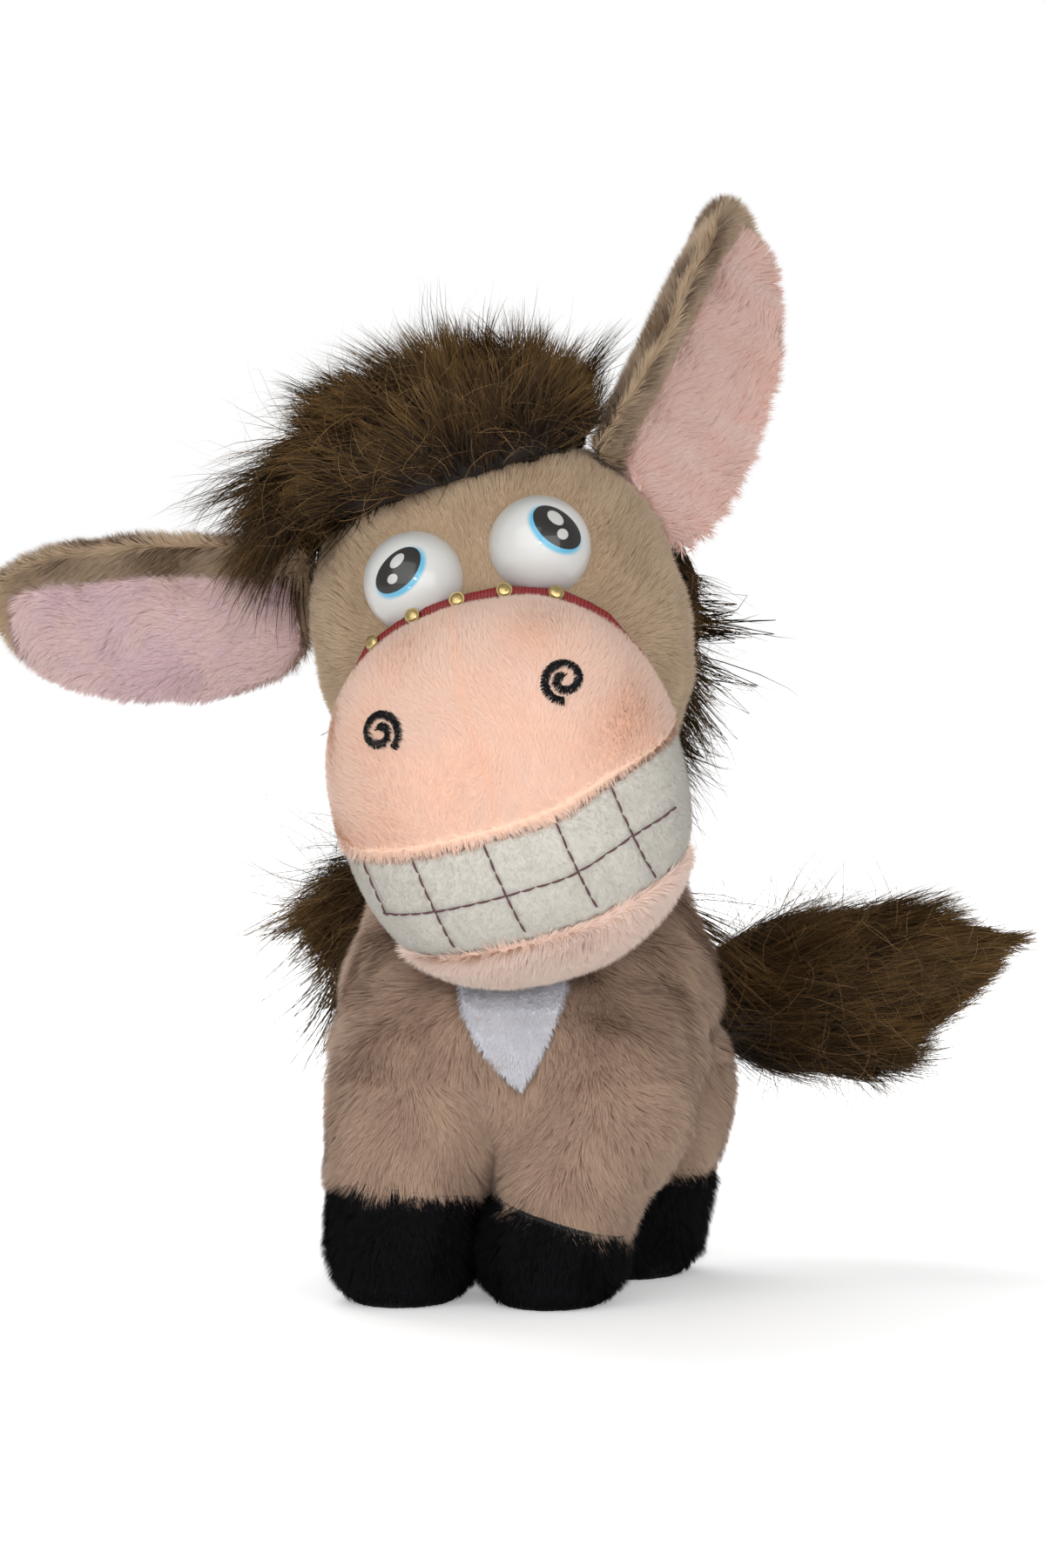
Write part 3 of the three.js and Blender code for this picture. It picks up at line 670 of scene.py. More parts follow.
@dataclass(frozen=True)
class Pile:
    """Short plush pile, as thin blades.

    Attributes:
        fibre: The fibres' finish.
        count: How many blades are sown.
        length: Their length.
        width: Their width at the root.
        lean: How far a blade lies over, 0 upright to 1 flat.
        wander: How far the way it is brushed wanders, in radians.
        swirl: Size of one such wandering.
        tuft: How many blades lean together, 0 for none.
        seed: Seed of everything by chance in it.
    """

    fibre: Fibre
    count: int
    length: float
    width: float = 0.15 * MM
    lean: float = 0.6
    wander: float = 0.5
    swirl: float = 7 * MM
    tuft: int = 24
    seed: int = 1

    def grow(self, name: str, skin: Surface, brushed: Field, keep: Field | None = None,
             scale: Field | None = None, shade: Field | None = None) -> bpy.types.Object:
        """Grows the pile on a surface.

        Args:
            name: The new piece's name.
            skin: The surface that it stands on.
            brushed: Gives the way the pile is brushed at points with their normals.
            keep: Says where pile grows.
            scale: Gives how long the pile is there, as a share of its length.
            shade: Gives how much darker or lighter it is there, about -0.5 to 0.5.

        Returns:
            The new piece.
        """
        rng = np.random.default_rng(self.seed)
        points, normals = skin.sample(self.count, rng)
        if keep is not None:
            kept = keep(points, normals)
            points, normals = points[kept], normals[kept]
        count = len(points)
        lie = along_surface(brushed(points, normals), normals)
        angle = self.wander * drift(points, self.swirl, self.seed) + rng.normal(0, 0.16, count)
        lie = turned(lie, normals, angle)
        lean = (self.lean + 0.1 * drift(points, self.swirl * 0.6, self.seed + 7)
                + rng.normal(0, 0.07, count))
        low = np.clip(lean, 0, 0.95)[:, None] * 0.75 * math.pi / 2
        high = np.clip(lean + 0.2, 0, 1.02)[:, None] * math.pi / 2
        length = self.length * rng.uniform(0.75, 1.1, count)
        if scale is not None:
            length = length * scale(points, normals)
        half = length[:, None] / 2
        start = normals * np.cos(low) + lie * np.sin(low)
        tip = points + start * half + (normals * np.cos(high) + lie * np.sin(high)) * half
        if self.tuft:
            leaders, nearest = led(points, self.tuft, rng)
            tip = tip + (tip[leaders[nearest]] - tip) * rng.uniform(0.1, 0.4, (count, 1))
        tip[:, 2] = np.maximum(tip[:, 2], FLOOR_GAP)
        across = turned(unit(np.cross(start, normals)), start, rng.normal(0, 0.4, count))
        across = facing_out(across, start, normals)
        lit = unit(normals * 1.2 + np.cross(across, start) * 0.22 + rng.normal(0, 0.06, (count, 3)))
        tone = 0.5 + rng.normal(0, 0.13, count) + 0.15 * drift(points, self.swirl * 0.5, self.seed + 3)
        if shade is not None:
            tone = tone + shade(points, normals)
        paths = np.stack([points - normals * PILE_ROOT, tip], axis=1)
        widths = np.full(count, self.width) * 1.0
        return ribbons(name, paths, across, lit, widths, tone, self.fibre.material())


def led(points: np.ndarray, each: int, rng: np.random.Generator) -> tuple[np.ndarray, np.ndarray]:
    """Picks leaders among points and finds the nearest one of each point.

    Args:
        points: The points.
        each: How many points there are to one leader.
        rng: The source of chance.

    Returns:
        Places of the leaders in the points, and for each point the place of its leader among them.
    """
    leaders = rng.choice(len(points), max(1, len(points) // each), replace=False)
    tree = KDTree(len(leaders))
    for k, leader in enumerate(leaders):
        tree.insert(points[leader], k)
    tree.balance()
    return leaders, np.array([tree.find(point)[1] for point in points])


@dataclass(frozen=True)
class Hair:
    """Long hair, combed and parted into locks, with a few that stray.

    Attributes:
        count: How many hairs.
        length: Their length.
        width: Their width at the root.
        lift: How steeply a hair leaves its root.
        turn: How fast a hair takes up the way it is combed.
        wave: How far the locks swing from it.
        wave_size: Size of one such swing.
        lock: How many hairs make a lock.
        draw: How closely the tips of a lock come together.
        uneven: How much longer or shorter the locks are.
        stray: Share of the hairs that go their own way.
        curl: How far a stray hair turns at each of its points, in radians.
        points: Points along one hair.
        seed: Seed of everything by chance in it.
        fibre: The hairs' finish.
    """

    count: int
    length: float
    width: float = 0.17 * MM
    lift: float = 0.4
    turn: float = 0.35
    wave: float = 0.25
    wave_size: float = 9 * MM
    lock: int = 60
    draw: float = 0.6
    uneven: float = 0.18
    stray: float = 0.03
    curl: float = 0.35
    points: int = 5
    seed: int = 1
    fibre: Fibre = HAIR

    def grow(self, name: str, skin: Surface, comb: Field, scale: Field | None = None,
             shade: Field | None = None) -> bpy.types.Object:
        """Grows the hair on a dark form.

        Args:
            name: The new piece's name.
            skin: The form that it grows from.
            comb: Gives the way the hair is combed at points with the form's normals.
            scale: Gives how long the hair is there, as a share of its length.
            shade: Gives how much darker or lighter it is there, about -0.5 to 0.5.

        Returns:
            The new piece.
        """
        rng = np.random.default_rng(self.seed)
        roots, normals = skin.sample(self.count, rng)
        count = len(roots)
        leaders, nearest = led(roots, self.lock, rng)
        uneven = 1 + self.uneven * rng.normal(size=len(leaders))[nearest]
        loose = rng.random(count) < self.stray
        length = self.length * rng.uniform(0.6, 1.1, count) * np.where(loose, 1.2, np.clip(uneven, 0.5, 1.6))
        if scale is not None:
            length = length * scale(roots, normals)
        step = (length / (self.points - 1))[:, None]
        swing = np.stack([drift(roots, self.wave_size, self.seed + k) for k in range(3)], axis=1)
        swing = swing * self.wave + rng.normal(0, 0.13, (count, 3))
        swing = np.where(loose[:, None], rng.normal(0, 0.5, (count, 3)), swing)
        heading = unit(normals * self.lift + comb(roots, normals) + swing)
        axis = unit(rng.normal(size=(count, 3)))
        bend = np.where(loose, rng.choice([-1, 1], count) * self.curl * rng.uniform(0.5, 1.6, count),
                        rng.normal(0, 0.17, count))
        place, facing = roots, normals
        path = [roots - normals * HAIR_GAP]
        for _ in range(self.points - 1):
            heading = unit(heading * (1 - self.turn) + (comb(place, facing) + swing) * self.turn)
            heading = unit(heading + np.cross(axis, heading) * bend[:, None])
            place, facing = self.clear(skin, place + heading * step, facing)
            path.append(place)
        paths = np.stack(path, axis=1)
        share = (np.linspace(0, 1, self.points) ** 1.2)[None, :, None] * self.draw
        share = share * rng.uniform(0.4, 1.0, (count, 1, 1)) * np.where(loose, 0.0, 1.0)[:, None, None]
        paths = paths + (paths[leaders[nearest]] - paths) * share
        paths[..., 1] = np.minimum(paths[..., 1], REAR)
        paths[..., 2] = np.maximum(paths[..., 2], FLOOR_GAP)
        along = unit(paths[:, 2] - paths[:, 0])
        across = turned(unit(np.cross(along, normals)), along, rng.normal(0, 0.5, count))
        across = facing_out(across, along, normals)
        lit = unit(normals + np.cross(across, along) * 0.45 + rng.normal(0, 0.2, (count, 3)))
        tone = 0.42 + rng.normal(0, 0.2, count) + 0.12 * rng.normal(size=len(leaders))[nearest]
        # Loose hairs are lighter: painted light that thin strays catch against the bright backdrop.
        tone = tone + np.where(loose, 0.3, 0.0)
        if shade is not None:
            tone = tone + shade(roots, normals)
        widths = self.width * np.where(loose, 0.6, 1.0) * 1.0
        return ribbons(name, paths, across, lit, widths, tone, self.fibre.material())

    def clear(self, skin: Surface, place: np.ndarray, facing: np.ndarray) -> tuple[np.ndarray, np.ndarray]:
        """Moves points that lie in the form out to its surface.

        Args:
            skin: The form.
            place: The points.
            facing: The surface's normals where the points were before.

        Returns:
            The points and the surface's normals at them.
        """
        place, facing = place.copy(), facing.copy()
        for k, point in enumerate(place):
            near, normal, _, _ = skin.tree.find_nearest(point)
            depth = (Vector(point) - near).dot(normal)
            if depth < HAIR_GAP:
                place[k] = near + normal * HAIR_GAP
            facing[k] = normal
        return place, facing


def set_out(name: str, form: bpy.types.Object, places: list[Matrix],
            material: bpy.types.Material) -> bpy.types.Object:
    """Copies one small form to many places, as one piece.

    Args:
        name: The new piece's name.
        form: The form, which is made at the origin.
        places: Where each copy goes.
        material: The piece's material.

    Returns:
        The new piece.
    """
    shape = bmesh.new()
    for place in places:
        copy = form.data.copy()
        copy.transform(place)
        shape.from_mesh(copy)
        bpy.data.meshes.remove(copy)
    mesh = bpy.data.meshes.new(name)
    shape.to_mesh(mesh)
    shape.free()
    mesh.materials.append(material)
    mesh.shade_smooth()
    return added(name, mesh)


def direction(x: float, y: float, z: float) -> Field:
    """A way of brushing that is the same everywhere."""
    return lambda points, normals: np.broadcast_to(np.array([x, y, z], float), points.shape)


def away_from(centre: Vector, pull: Vector = Vector((0, 0, 0))) -> Field:
    """A way of brushing that runs out from a point, with a steady pull added.

    Args:
        centre: Where it runs out from.
        pull: The steady part.

    Returns:
        The way of brushing.
    """
    return lambda points, normals: unit(points - np.array(centre)) + np.array(pull)


def ride(piece: bpy.types.Object, body: str, slot: str, *nodes: str, fill: float | None = None) -> None:
    """Hands a piece to its body, hides the CAD nodes that it replaces and logs it.

    Args:
        piece: The piece.
        body: The CAD body that it moves with.
        slot: The record's material slot; not used.
        *nodes: The CAD nodes that it replaces.
        fill: How tightly it is stuffed, for a padded piece; not used.
    """
    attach(piece, body)
    if nodes:
        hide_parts(*nodes)
    log.info("%s rides on %s, %d faces", piece.name, body, len(piece.data.polygons))


def joint(name: str) -> Vector:
    """Where a joint of the record turns."""
    return Vector(next(j["pos_m"] for j in frame["joints"] if j["name"] == name))


def spin(degrees: float, axis: str) -> Matrix:
    """A turn about one axis."""
    return Matrix.Rotation(math.radians(degrees), 3, axis)


@dataclass(frozen=True)
class HeadPlace:
    """Where the head is and how it is tilted.

    Attributes:
        from_neck: From the neck's centre to the head's.
        roll: How far the head leans to the toy's right, in degrees.
        yaw: How far it looks to the toy's left, in degrees.
    """

    from_neck: Vector = Vector((-2.6, -6.0, 25.8)) * MM
    roll: float = 16.0
    yaw: float = 1.0

    @property
    def turn(self) -> Matrix:
        """The head's turn."""
        return spin(self.yaw, "Z") @ spin(-self.roll, "Y")

    @property
    def centre(self) -> Vector:
        """The head's centre in the whole toy's frame."""
        return joint("head_tilt") + self.from_neck

    def out(self, point: Vector) -> Vector:
        """Takes a point from the head's frame to the toy's."""
        return self.centre + self.turn @ point

    def inside(self, points: np.ndarray) -> np.ndarray:
        """Takes points from the toy's frame to the head's."""
        return (points - np.array(self.centre)) @ np.array(self.turn)


HEAD = HeadPlace()


@dataclass(frozen=True)
class Dome:
    """A rounded box-like form in the head's frame.

    Attributes:
        centre: Its centre.
        low: Reach towards -X, -Y and -Z.
        high: Reach towards +X, +Y and +Z.
        power: 2 for an ellipsoid, more for a squarer form.
    """

    centre: Vector
    low: Vector
    high: Vector
    power: float

    def level(self, points: np.ndarray) -> np.ndarray:
        """How far out points of the toy's frame lie: below 1 inside, 1 on the surface."""
        local = HEAD.inside(points) - np.array(self.centre)
        reach = np.where(local < 0, np.array(self.low), np.array(self.high))
        return (np.abs(local / reach) ** self.power).sum(-1) ** (1 / self.power)

    def front(self, x: float, z: float) -> tuple[Vector, Vector]:
        """The foremost point at a place across and up, and the way it faces, in the head's frame."""
        local = Vector((x, 0, z)) - self.centre
        across = abs(local.x / self.high.x) ** self.power
        up = abs(local.z / (self.high.z if local.z > 0 else self.low.z)) ** self.power
        depth = -self.low.y * max(0.0, 1 - across - up) ** (1 / self.power)
        local.y = depth
        reach = [self.high.x, self.low.y, self.high.z if local.z > 0 else self.low.z]
        slope = Vector([math.copysign(abs(v / r) ** (self.power - 1) / r, v) for v, r in zip(local, reach)])
        return self.centre + local, slope.normalized()


SKULL = Dome(Vector((0, 0, 0)), Vector((25, 22.5, 27)) * MM, Vector((25, 22.5, 27)) * MM, 2.2)
MUZZLE = Dome(Vector((-1.6, -23, -21)) * MM, Vector((23.2, 22.5, 25)) * MM,
              Vector((23.2, 12, 25)) * MM, 2.35)


@dataclass(frozen=True)
class Pupil:
    """One printed pupil, as it is seen from the front, in millimetres and degrees.

    Attributes:
        across: How far it lies to the right of the dome's middle.
        up: How far it lies above it.
        lean: How far its long way leans to the right.
        spots: Right, up, long and short half sizes of its two light spots, from its own middle.
    """

    across: float
    up: float
    lean: float
    spots: tuple[tuple[float, float, float, float], ...]


@dataclass
class Eyes:
    """Two glossy white domes, each with a printed pupil, a shank and its washer."""

    radius: float = 6.9 * MM
    sunk: float = 0.9 * MM
    spread: float = 8.9 * MM
    middle: float = 1.8 * MM
    height: float = 9.3 * MM
    back: float = 1.5 * MM
    shank_reach: float = 6.6 * MM
    shank_radius: float = 2 * MM
    pupil_long: float = 3.75 * MM
    pupil_short: float = 2.15 * MM
    ring_shift: float = 0.5 * MM
    ring_grow: float = 0.3 * MM
    print_turn: float = 8.0
    pupils: dict[str, Pupil] = field(default_factory=lambda: {
        "eye_left": Pupil(2.3, 2.5, -50.0, ((-0.2, 1.25, 1.25, 0.72), (0.75, -0.9, 0.75, 0.7))),
        "eye_right": Pupil(-2.1, 1.6, 43.0, ((-0.15, 1.25, 1.2, 0.62), (-0.75, -1.15, 0.75, 0.6)))})

    def seat(self, name: str) -> tuple[Vector, Vector]:
        """Centre of a dome and the way it faces, in the toy's frame."""
        side = 1 if name == "eye_left" else -1
        point, normal = SKULL.front(self.middle + side * self.spread, self.height)
        return HEAD.out(point - normal * self.sunk), HEAD.turn @ normal

    def dome(self, name: str) -> bpy.types.Object:
        """Models one dome: a ball with a flat back, whose middle is drawn out into the shank.

        Args:
            name: The piece's name.

        Returns:
            The new piece.
        """
        centre, outward = self.seat(name)
        bpy.ops.object.select_all(action="DESELECT")
        bpy.ops.mesh.primitive_uv_sphere_add(segments=64, ring_count=40, radius=self.radius)
        piece = bpy.context.object
        piece.name = f"{name}_dome"
        mesh = piece.data
        for corner in mesh.vertices:
            if corner.co.z < -self.back:
                by_axis = math.hypot(corner.co.x, corner.co.y) < self.shank_radius
                corner.co.z = -self.shank_reach if by_axis else -self.back
        turn = outward.to_track_quat("Z", "Y").to_matrix().to_4x4()
        mesh.transform(Matrix.Translation(centre) @ turn)
        bpy.ops.object.shade_smooth()
        return piece

    def dress(self, name: str, piece: bpy.types.Object) -> None:
        """Prints the pupil, its pale blue edge and its two light spots.

        Args:
            name: The eye's name.
            piece: Its dome.
        """
        pupil = self.pupils[name]
        centre, _ = self.seat(name)
        right = spin(self.print_turn, "Z") @ Vector((1, 0, 0))
        rise = Vector((0, 0, 1))
        shader = Shader(f"{name}_print")
        place = shader.place()
        turn = math.radians(pupil.lean)
        long_way = right * math.sin(turn) + rise * math.cos(turn)
        short_way = right * math.cos(turn) - rise * math.sin(turn)
        if short_way.z > 0:
            short_way = -short_way

        def oval(at: Vector, long: float, short: float, soft: float = 0.06) -> object:
            """Output that is 1 inside an oval that faces the front.

            Args:
                at: Its middle.
                long: Half its length along the pupil.
                short: Half its width.
                soft: How soft its edge is, as a share of its size.

            Returns:
                The output.
            """
            offset = shader.vector("SUBTRACT", place, at).outputs[0]
            parts = []
            for way in (long_way / long, short_way / short):
                dot = shader.vector("DOT_PRODUCT", offset, way).outputs["Value"]
                parts.append(shader.sum("POWER", shader.sum("ABSOLUTE", dot, 0.0), 2.0))
            edge = shader.sum("SUBTRACT", 1.0, shader.sum("ADD", *parts))
            return shader.sum("ADD", shader.sum("DIVIDE", edge, soft), 0.5, clamp=True)

        middle = centre + (right * pupil.across + rise * pupil.up) * MM
        tall, wide = self.pupil_long, self.pupil_short
        ring = middle + short_way * self.ring_shift
        base = shader.blend(oval(ring, tall + self.ring_grow, wide + self.ring_grow, 0.35),
                            paint(206, 206, 203), paint(92, 172, 204))
        base = shader.blend(oval(middle, tall, wide), base, paint(22, 18, 16))
        for x, z, long, short in pupil.spots:
            spot = middle + (right * x + rise * z) * MM
            base = shader.blend(oval(spot, long * MM, short * MM, 0.2), base, paint(186, 186, 182))
        piece.data.materials.append(shader.finish(
            Base_Color=base, Roughness=0.35, Coat_Weight=0.7, Coat_Roughness=0.03, IOR=1.45))

    def build(self) -> None:
        """Makes both eyes and hands them to the head."""
        washer = Plastic("washer_plastic", paint(216, 216, 214)).material()
        for name in self.pupils:
            piece = self.dome(name)
            self.dress(name, piece)
            ride(piece, "head", "eye_plastic", name)
            node = frame["nodes"][f"{name}_washer"]
            node.data.materials.clear()
            node.data.materials.append(washer)

    def nearness(self, points: np.ndarray) -> np.ndarray:
        """Distance of points from the nearer dome's surface."""
        gaps = [np.linalg.norm(points - np.array(self.seat(name)[0]), axis=1) - self.radius
                for name in self.pupils]
        return np.minimum(*gaps)


@dataclass(frozen=True)
class Sock:
    """The slanting edge between one leg's tan sleeve and its black hoof.

    Attributes:
        height: Its height at the leg's middle.
        slope: How far it rises for each step to the toy's left.
    """

    height: float
    slope: float


@dataclass
class Trunk:
    """Body and legs as one stuffed form, with tan pile and a white patch on the chest."""

    voxel: float = 1.1 * MM
    rounds: int = 14
    tucked: float = 5 * MM
    hoof_voxel: float = 0.7 * MM
    hoof_swell: float = 0.3 * MM
    patch_swell: float = 0.1 * MM
    patch_reach: float = 0.9
    neck_seat: float = 16.8 * MM
    waist: float = 31 * MM
    socks: dict[str, Sock] = field(default_factory=lambda: {
        "front_left": Sock(12.0 * MM, -0.3), "front_right": Sock(16.2 * MM, -0.16),
        "hind_left": Sock(17.5 * MM, -0.25), "hind_right": Sock(16.5 * MM, 0.1)})
    hooves: dict[str, Surface] = field(default_factory=dict)
    skin: Surface | None = None

    def middle(self, leg: str) -> np.ndarray:
        """Middle of a hoof's box."""
        low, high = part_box(f"{leg}_hoof")
        return (np.array(low) + np.array(high)) / 2

    def over_sock(self, leg: str, points: np.ndarray) -> np.ndarray:
        """How far points lie above a leg's sock edge."""
        sock = self.socks[leg]
        edge = sock.height + sock.slope * (points[:, 0] - self.middle(leg)[0])
        return points[:, 2] - edge

    def leg_of(self, points: np.ndarray) -> np.ndarray:
        """The number of the leg that each point is nearest to."""
        gaps = [np.linalg.norm(points[:, :2] - self.middle(leg)[:2], axis=1) for leg in LEGS]
        return np.argmin(np.stack(gaps), axis=0)

    def build(self) -> None:
        """Makes the body, the hooves and the patch."""
        legs = [f"{leg}_leg" for leg in LEGS]
        fills = [f"{leg}_leg_stuffing" for leg in LEGS]
        body = solid_copy("body_cover", ["torso_cover", "torso_stuffing", *legs, *fills],
                          self.voxel, self.rounds)
        cut_level(body, self.tucked, keep_above=True)
        body.data.materials.append(Cloth("leg_backing", paint(160, 132, 111), 0.93).material())
        ride(body, "torso", "tan_plush", "torso_cover", "torso_stuffing", *legs, fill=0.8)
        self.skin = Surface(body)
        for leg in LEGS:
            hoof = solid_copy(f"{leg}_hoof_cover", [f"{leg}_hoof", f"{leg}_leg", f"{leg}_leg_stuffing"],
                              self.hoof_voxel, 6, self.hoof_swell)
            sock = self.socks[leg]
            middle = self.middle(leg)
            cut_level(hoof, sock.height, keep_above=False, slope=sock.slope, at=float(middle[0]))
            for corner in hoof.data.vertices:
                corner.co.z = max(corner.co.z, 0.0)
            hoof.data.materials.append(Cloth("black_backing", paint(16, 16, 18)).material())
            ride(hoof, "torso", "black_plush", f"{leg}_hoof", f"{leg}_leg_stuffing", fill=0.8)
            self.hooves[leg] = Surface(hoof)
        patch = solid_copy("chest_patch_cloth", ["chest_patch"], 0.3 * MM, 6, self.patch_swell)
        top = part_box("chest_patch")[1][2]
        for corner in patch.data.vertices:
            corner.co.z = top - (top - corner.co.z) * self.patch_reach
        patch.data.materials.append(Cloth("white_backing", paint(212, 212, 218)).material())
        ride(patch, "torso", "white_plush", "chest_patch")
        self.dress(Surface(patch))

    def dress(self, patch: Surface) -> None:
        """Grows the pile of the body, the hooves and the patch.

        Args:
            patch: The patch's surface.
        """
        neck = np.array(joint("head_tilt"))
        covered = patch.tree

        def shown(points: np.ndarray, normals: np.ndarray) -> np.ndarray:
            """Keeps pile out of the neck's seat, from under the patch and off the hooves."""
            clear = np.linalg.norm(points - neck, axis=1) > self.neck_seat
            near = (np.abs(points[:, 0] - 5 * MM) < 9 * MM) & (points[:, 1] < -15 * MM)
            for k in np.nonzero(near)[0]:
                if covered.find_nearest(points[k], 0.5 * MM)[0] is not None:
                    clear[k] = False
            leg = self.leg_of(points)
            for k, name in enumerate(LEGS):
                clear &= (leg != k) | (self.over_sock(name, points) > 0.1 * MM)
            return clear

        def brushed(points: np.ndarray, normals: np.ndarray) -> np.ndarray:
            """Down over the body, and outwards as well on the legs."""
            legs = np.array([self.middle(leg) for leg in LEGS])[self.leg_of(points)]
            outward = unit((points - legs) * np.array([1.0, 1.0, 0.0]))
            low = np.clip((34 * MM - points[:, 2]) / (14 * MM), 0, 1)[:, None]
            return np.array([0, 0.1, -1.0]) + outward * np.array([1.0, 0.2, 0.0]) * low * 1.3

        def by_sock(points: np.ndarray, normals: np.ndarray) -> np.ndarray:
            """Longer pile that hangs over the edge of each hoof."""
            leg = self.leg_of(points)
            over = np.stack([self.over_sock(name, points) for name in LEGS])[leg, np.arange(len(points))]
            return 1 + 0.35 * np.clip(1 - over / (4 * MM), 0, 1)

        def by_floor(points: np.ndarray, normals: np.ndarray) -> np.ndarray:
            """Shorter pile near the floor."""
            return np.clip(points[:, 2] / (5 * MM), 0.4, 1)

        down = direction(0, 0.1, -1)
        for name, seed, count, above in (("body_pile", 11, 390000, True), ("leg_pile", 12, 530000, False)):
            def part(points: np.ndarray, normals: np.ndarray, above: bool = above) -> np.ndarray:
                """Keeps the pile of the upper or the lower part."""
                return shown(points, normals) & ((points[:, 2] > self.waist) == above)
            pile = Pile(TAN_LEG, count, 3.2 * MM, width=0.13 * MM, lean=0.58, wander=0.5,
                        tuft=50, seed=seed)
            ride(pile.grow(name, self.skin, brushed, keep=part, scale=by_sock), "torso", "tan_plush")
        for k, leg in enumerate(LEGS):
            def on_hoof(points: np.ndarray, normals: np.ndarray, leg: str = leg) -> np.ndarray:
                """Keeps pile below the sock's edge and off the sole."""
                clear = (normals[:, 2] > -0.75) & (points[:, 2] > 0.8 * MM)
                return clear & (self.over_sock(leg, points) < -0.2 * MM)
            outward = away_from(Vector(self.middle(leg)), Vector((0, 0, -0.9)))
            pile = Pile(BLACK, 44000, 2.8 * MM, width=0.14 * MM, lean=0.55, wander=0.5,
                        tuft=40, seed=21 + k)
            ride(pile.grow(f"{leg}_hoof_pile", self.hooves[leg], outward, keep=on_hoof, scale=by_floor),
                 "torso", "black_plush")
        nap = Pile(WHITE, 16000, 1.1 * MM, width=0.12 * MM, lean=0.6, wander=0.3, seed=31)
        ride(nap.grow("chest_patch_nap", patch, down, keep=lambda points, normals: normals[:, 1] < 0.2),
             "torso", "white_plush")


@dataclass
class Neck:
    """The stuffed ball between body and head."""

    def build(self) -> None:
        """Makes the ball and its pile."""
        cover = solid_copy("neck_ball", ["neck_cover"], 0.9 * MM, 6)
        cover.data.materials.append(Cloth("tan_backing", paint(166, 141, 113), 0.93).material())
        ride(cover, "neck", "tan_plush", "neck_cover", fill=0.8)
        pile = Pile(TAN, 16000, 2.2 * MM, width=0.3 * MM, lean=0.8, seed=41)
        ride(pile.grow("neck_pile", Surface(cover), direction(0, 0.2, -1)), "neck", "tan_plush")


@dataclass
class Head:
    """The head's cover and pile, without the muzzle in front."""

    eyes: Eyes
    neck_hollow: float = 17.9 * MM

    def build(self) -> None:
        """Makes the cover and its pile."""
        cover = solid_copy("head_shell", ["head_cover", "head_stuffing"], 1.1 * MM, 6)
        cover.data.materials.append(Cloth("tan_backing", paint(166, 141, 113), 0.93).material())
        ride(cover, "head", "tan_plush", "head_cover", "head_stuffing", fill=0.8)
        neck = np.array(joint("head_tilt"))

        def shown(points: np.ndarray, normals: np.ndarray) -> np.ndarray:
            """Keeps pile out of the neck's hollow, from under the muzzle and from under the eyes."""
            clear = np.linalg.norm(points - neck, axis=1) > self.neck_hollow
            return clear & (MUZZLE.level(points) > 1.03) & (self.eyes.nearness(points) > -0.3 * MM)

        def shorter(points: np.ndarray, normals: np.ndarray) -> np.ndarray:
            """Shorter pile round the eyes and in the crease over the muzzle."""
            by_eye = np.clip(self.eyes.nearness(points) / (5 * MM), 0, 1)
            by_crease = np.clip((MUZZLE.level(points) - 1) * 5, 0, 1)
            return 0.25 + 0.75 * np.minimum(by_eye, by_crease)

        brushed = away_from(HEAD.out(Vector((0, -30, -8)) * MM), Vector((0, 0.2, 0.1)))
        pile = Pile(TAN, 250000, 2.6 * MM, width=0.13 * MM, lean=0.62, wander=0.5,
                    tuft=40, seed=51)
        ride(pile.grow("head_pile", Surface(cover), brushed, keep=shown, scale=shorter), "head", "tan_plush")


@dataclass(frozen=True)
class Grin:
    """Where the rows of teeth run, in the head's frame, by height at the very front of the muzzle.

    Attributes:
        gum: Height of their upper edge over the muzzle's middle.
        lip: Height of their lower edge.
        rise: How steeply the rows rise towards the cheeks.
        wry: How much higher they run on the toy's left.
        wide: How much higher the upper edge lies than the cut in the cloth.
    """

    gum: float = -7.2 * MM
    lip: float = -20.6 * MM
    rise: float = math.tan(math.radians(14))
    wry: float = 2.2 * MM
    wide: float = 1.6 * MM

    @property
    def front(self) -> float:
        """How far forward the muzzle reaches."""
        return MUZZLE.centre.y - MUZZLE.low.y

    def height(self, local: np.ndarray) -> np.ndarray:
        """Height of points, in the head's frame, without the rise towards the cheeks."""
        return local[:, 2] - MUZZLE.centre.z - (local[:, 1] - self.front) * self.rise

    def lift(self, across: np.ndarray, height: np.ndarray) -> np.ndarray:
        """How much higher the cloth is drawn at places on the muzzle.

        Args:
            across: Distance to the toy's left of the muzzle's middle.
            height: Height at the very front.

        Returns:
            The lift at each place.
        """
        left = np.clip((across - 5 * MM) / (13 * MM), 0, 1)
        band = np.clip((height + 27 * MM) / (8 * MM), 0, 1) * np.clip((14 * MM - height) / (18 * MM), 0, 1)
        edge = np.clip(1 - np.abs(height - self.gum) / (9 * MM), 0, 1)
        return self.wry * left ** 2 * (3 - 2 * left) * band + self.wide * edge


GRIN = Grin()


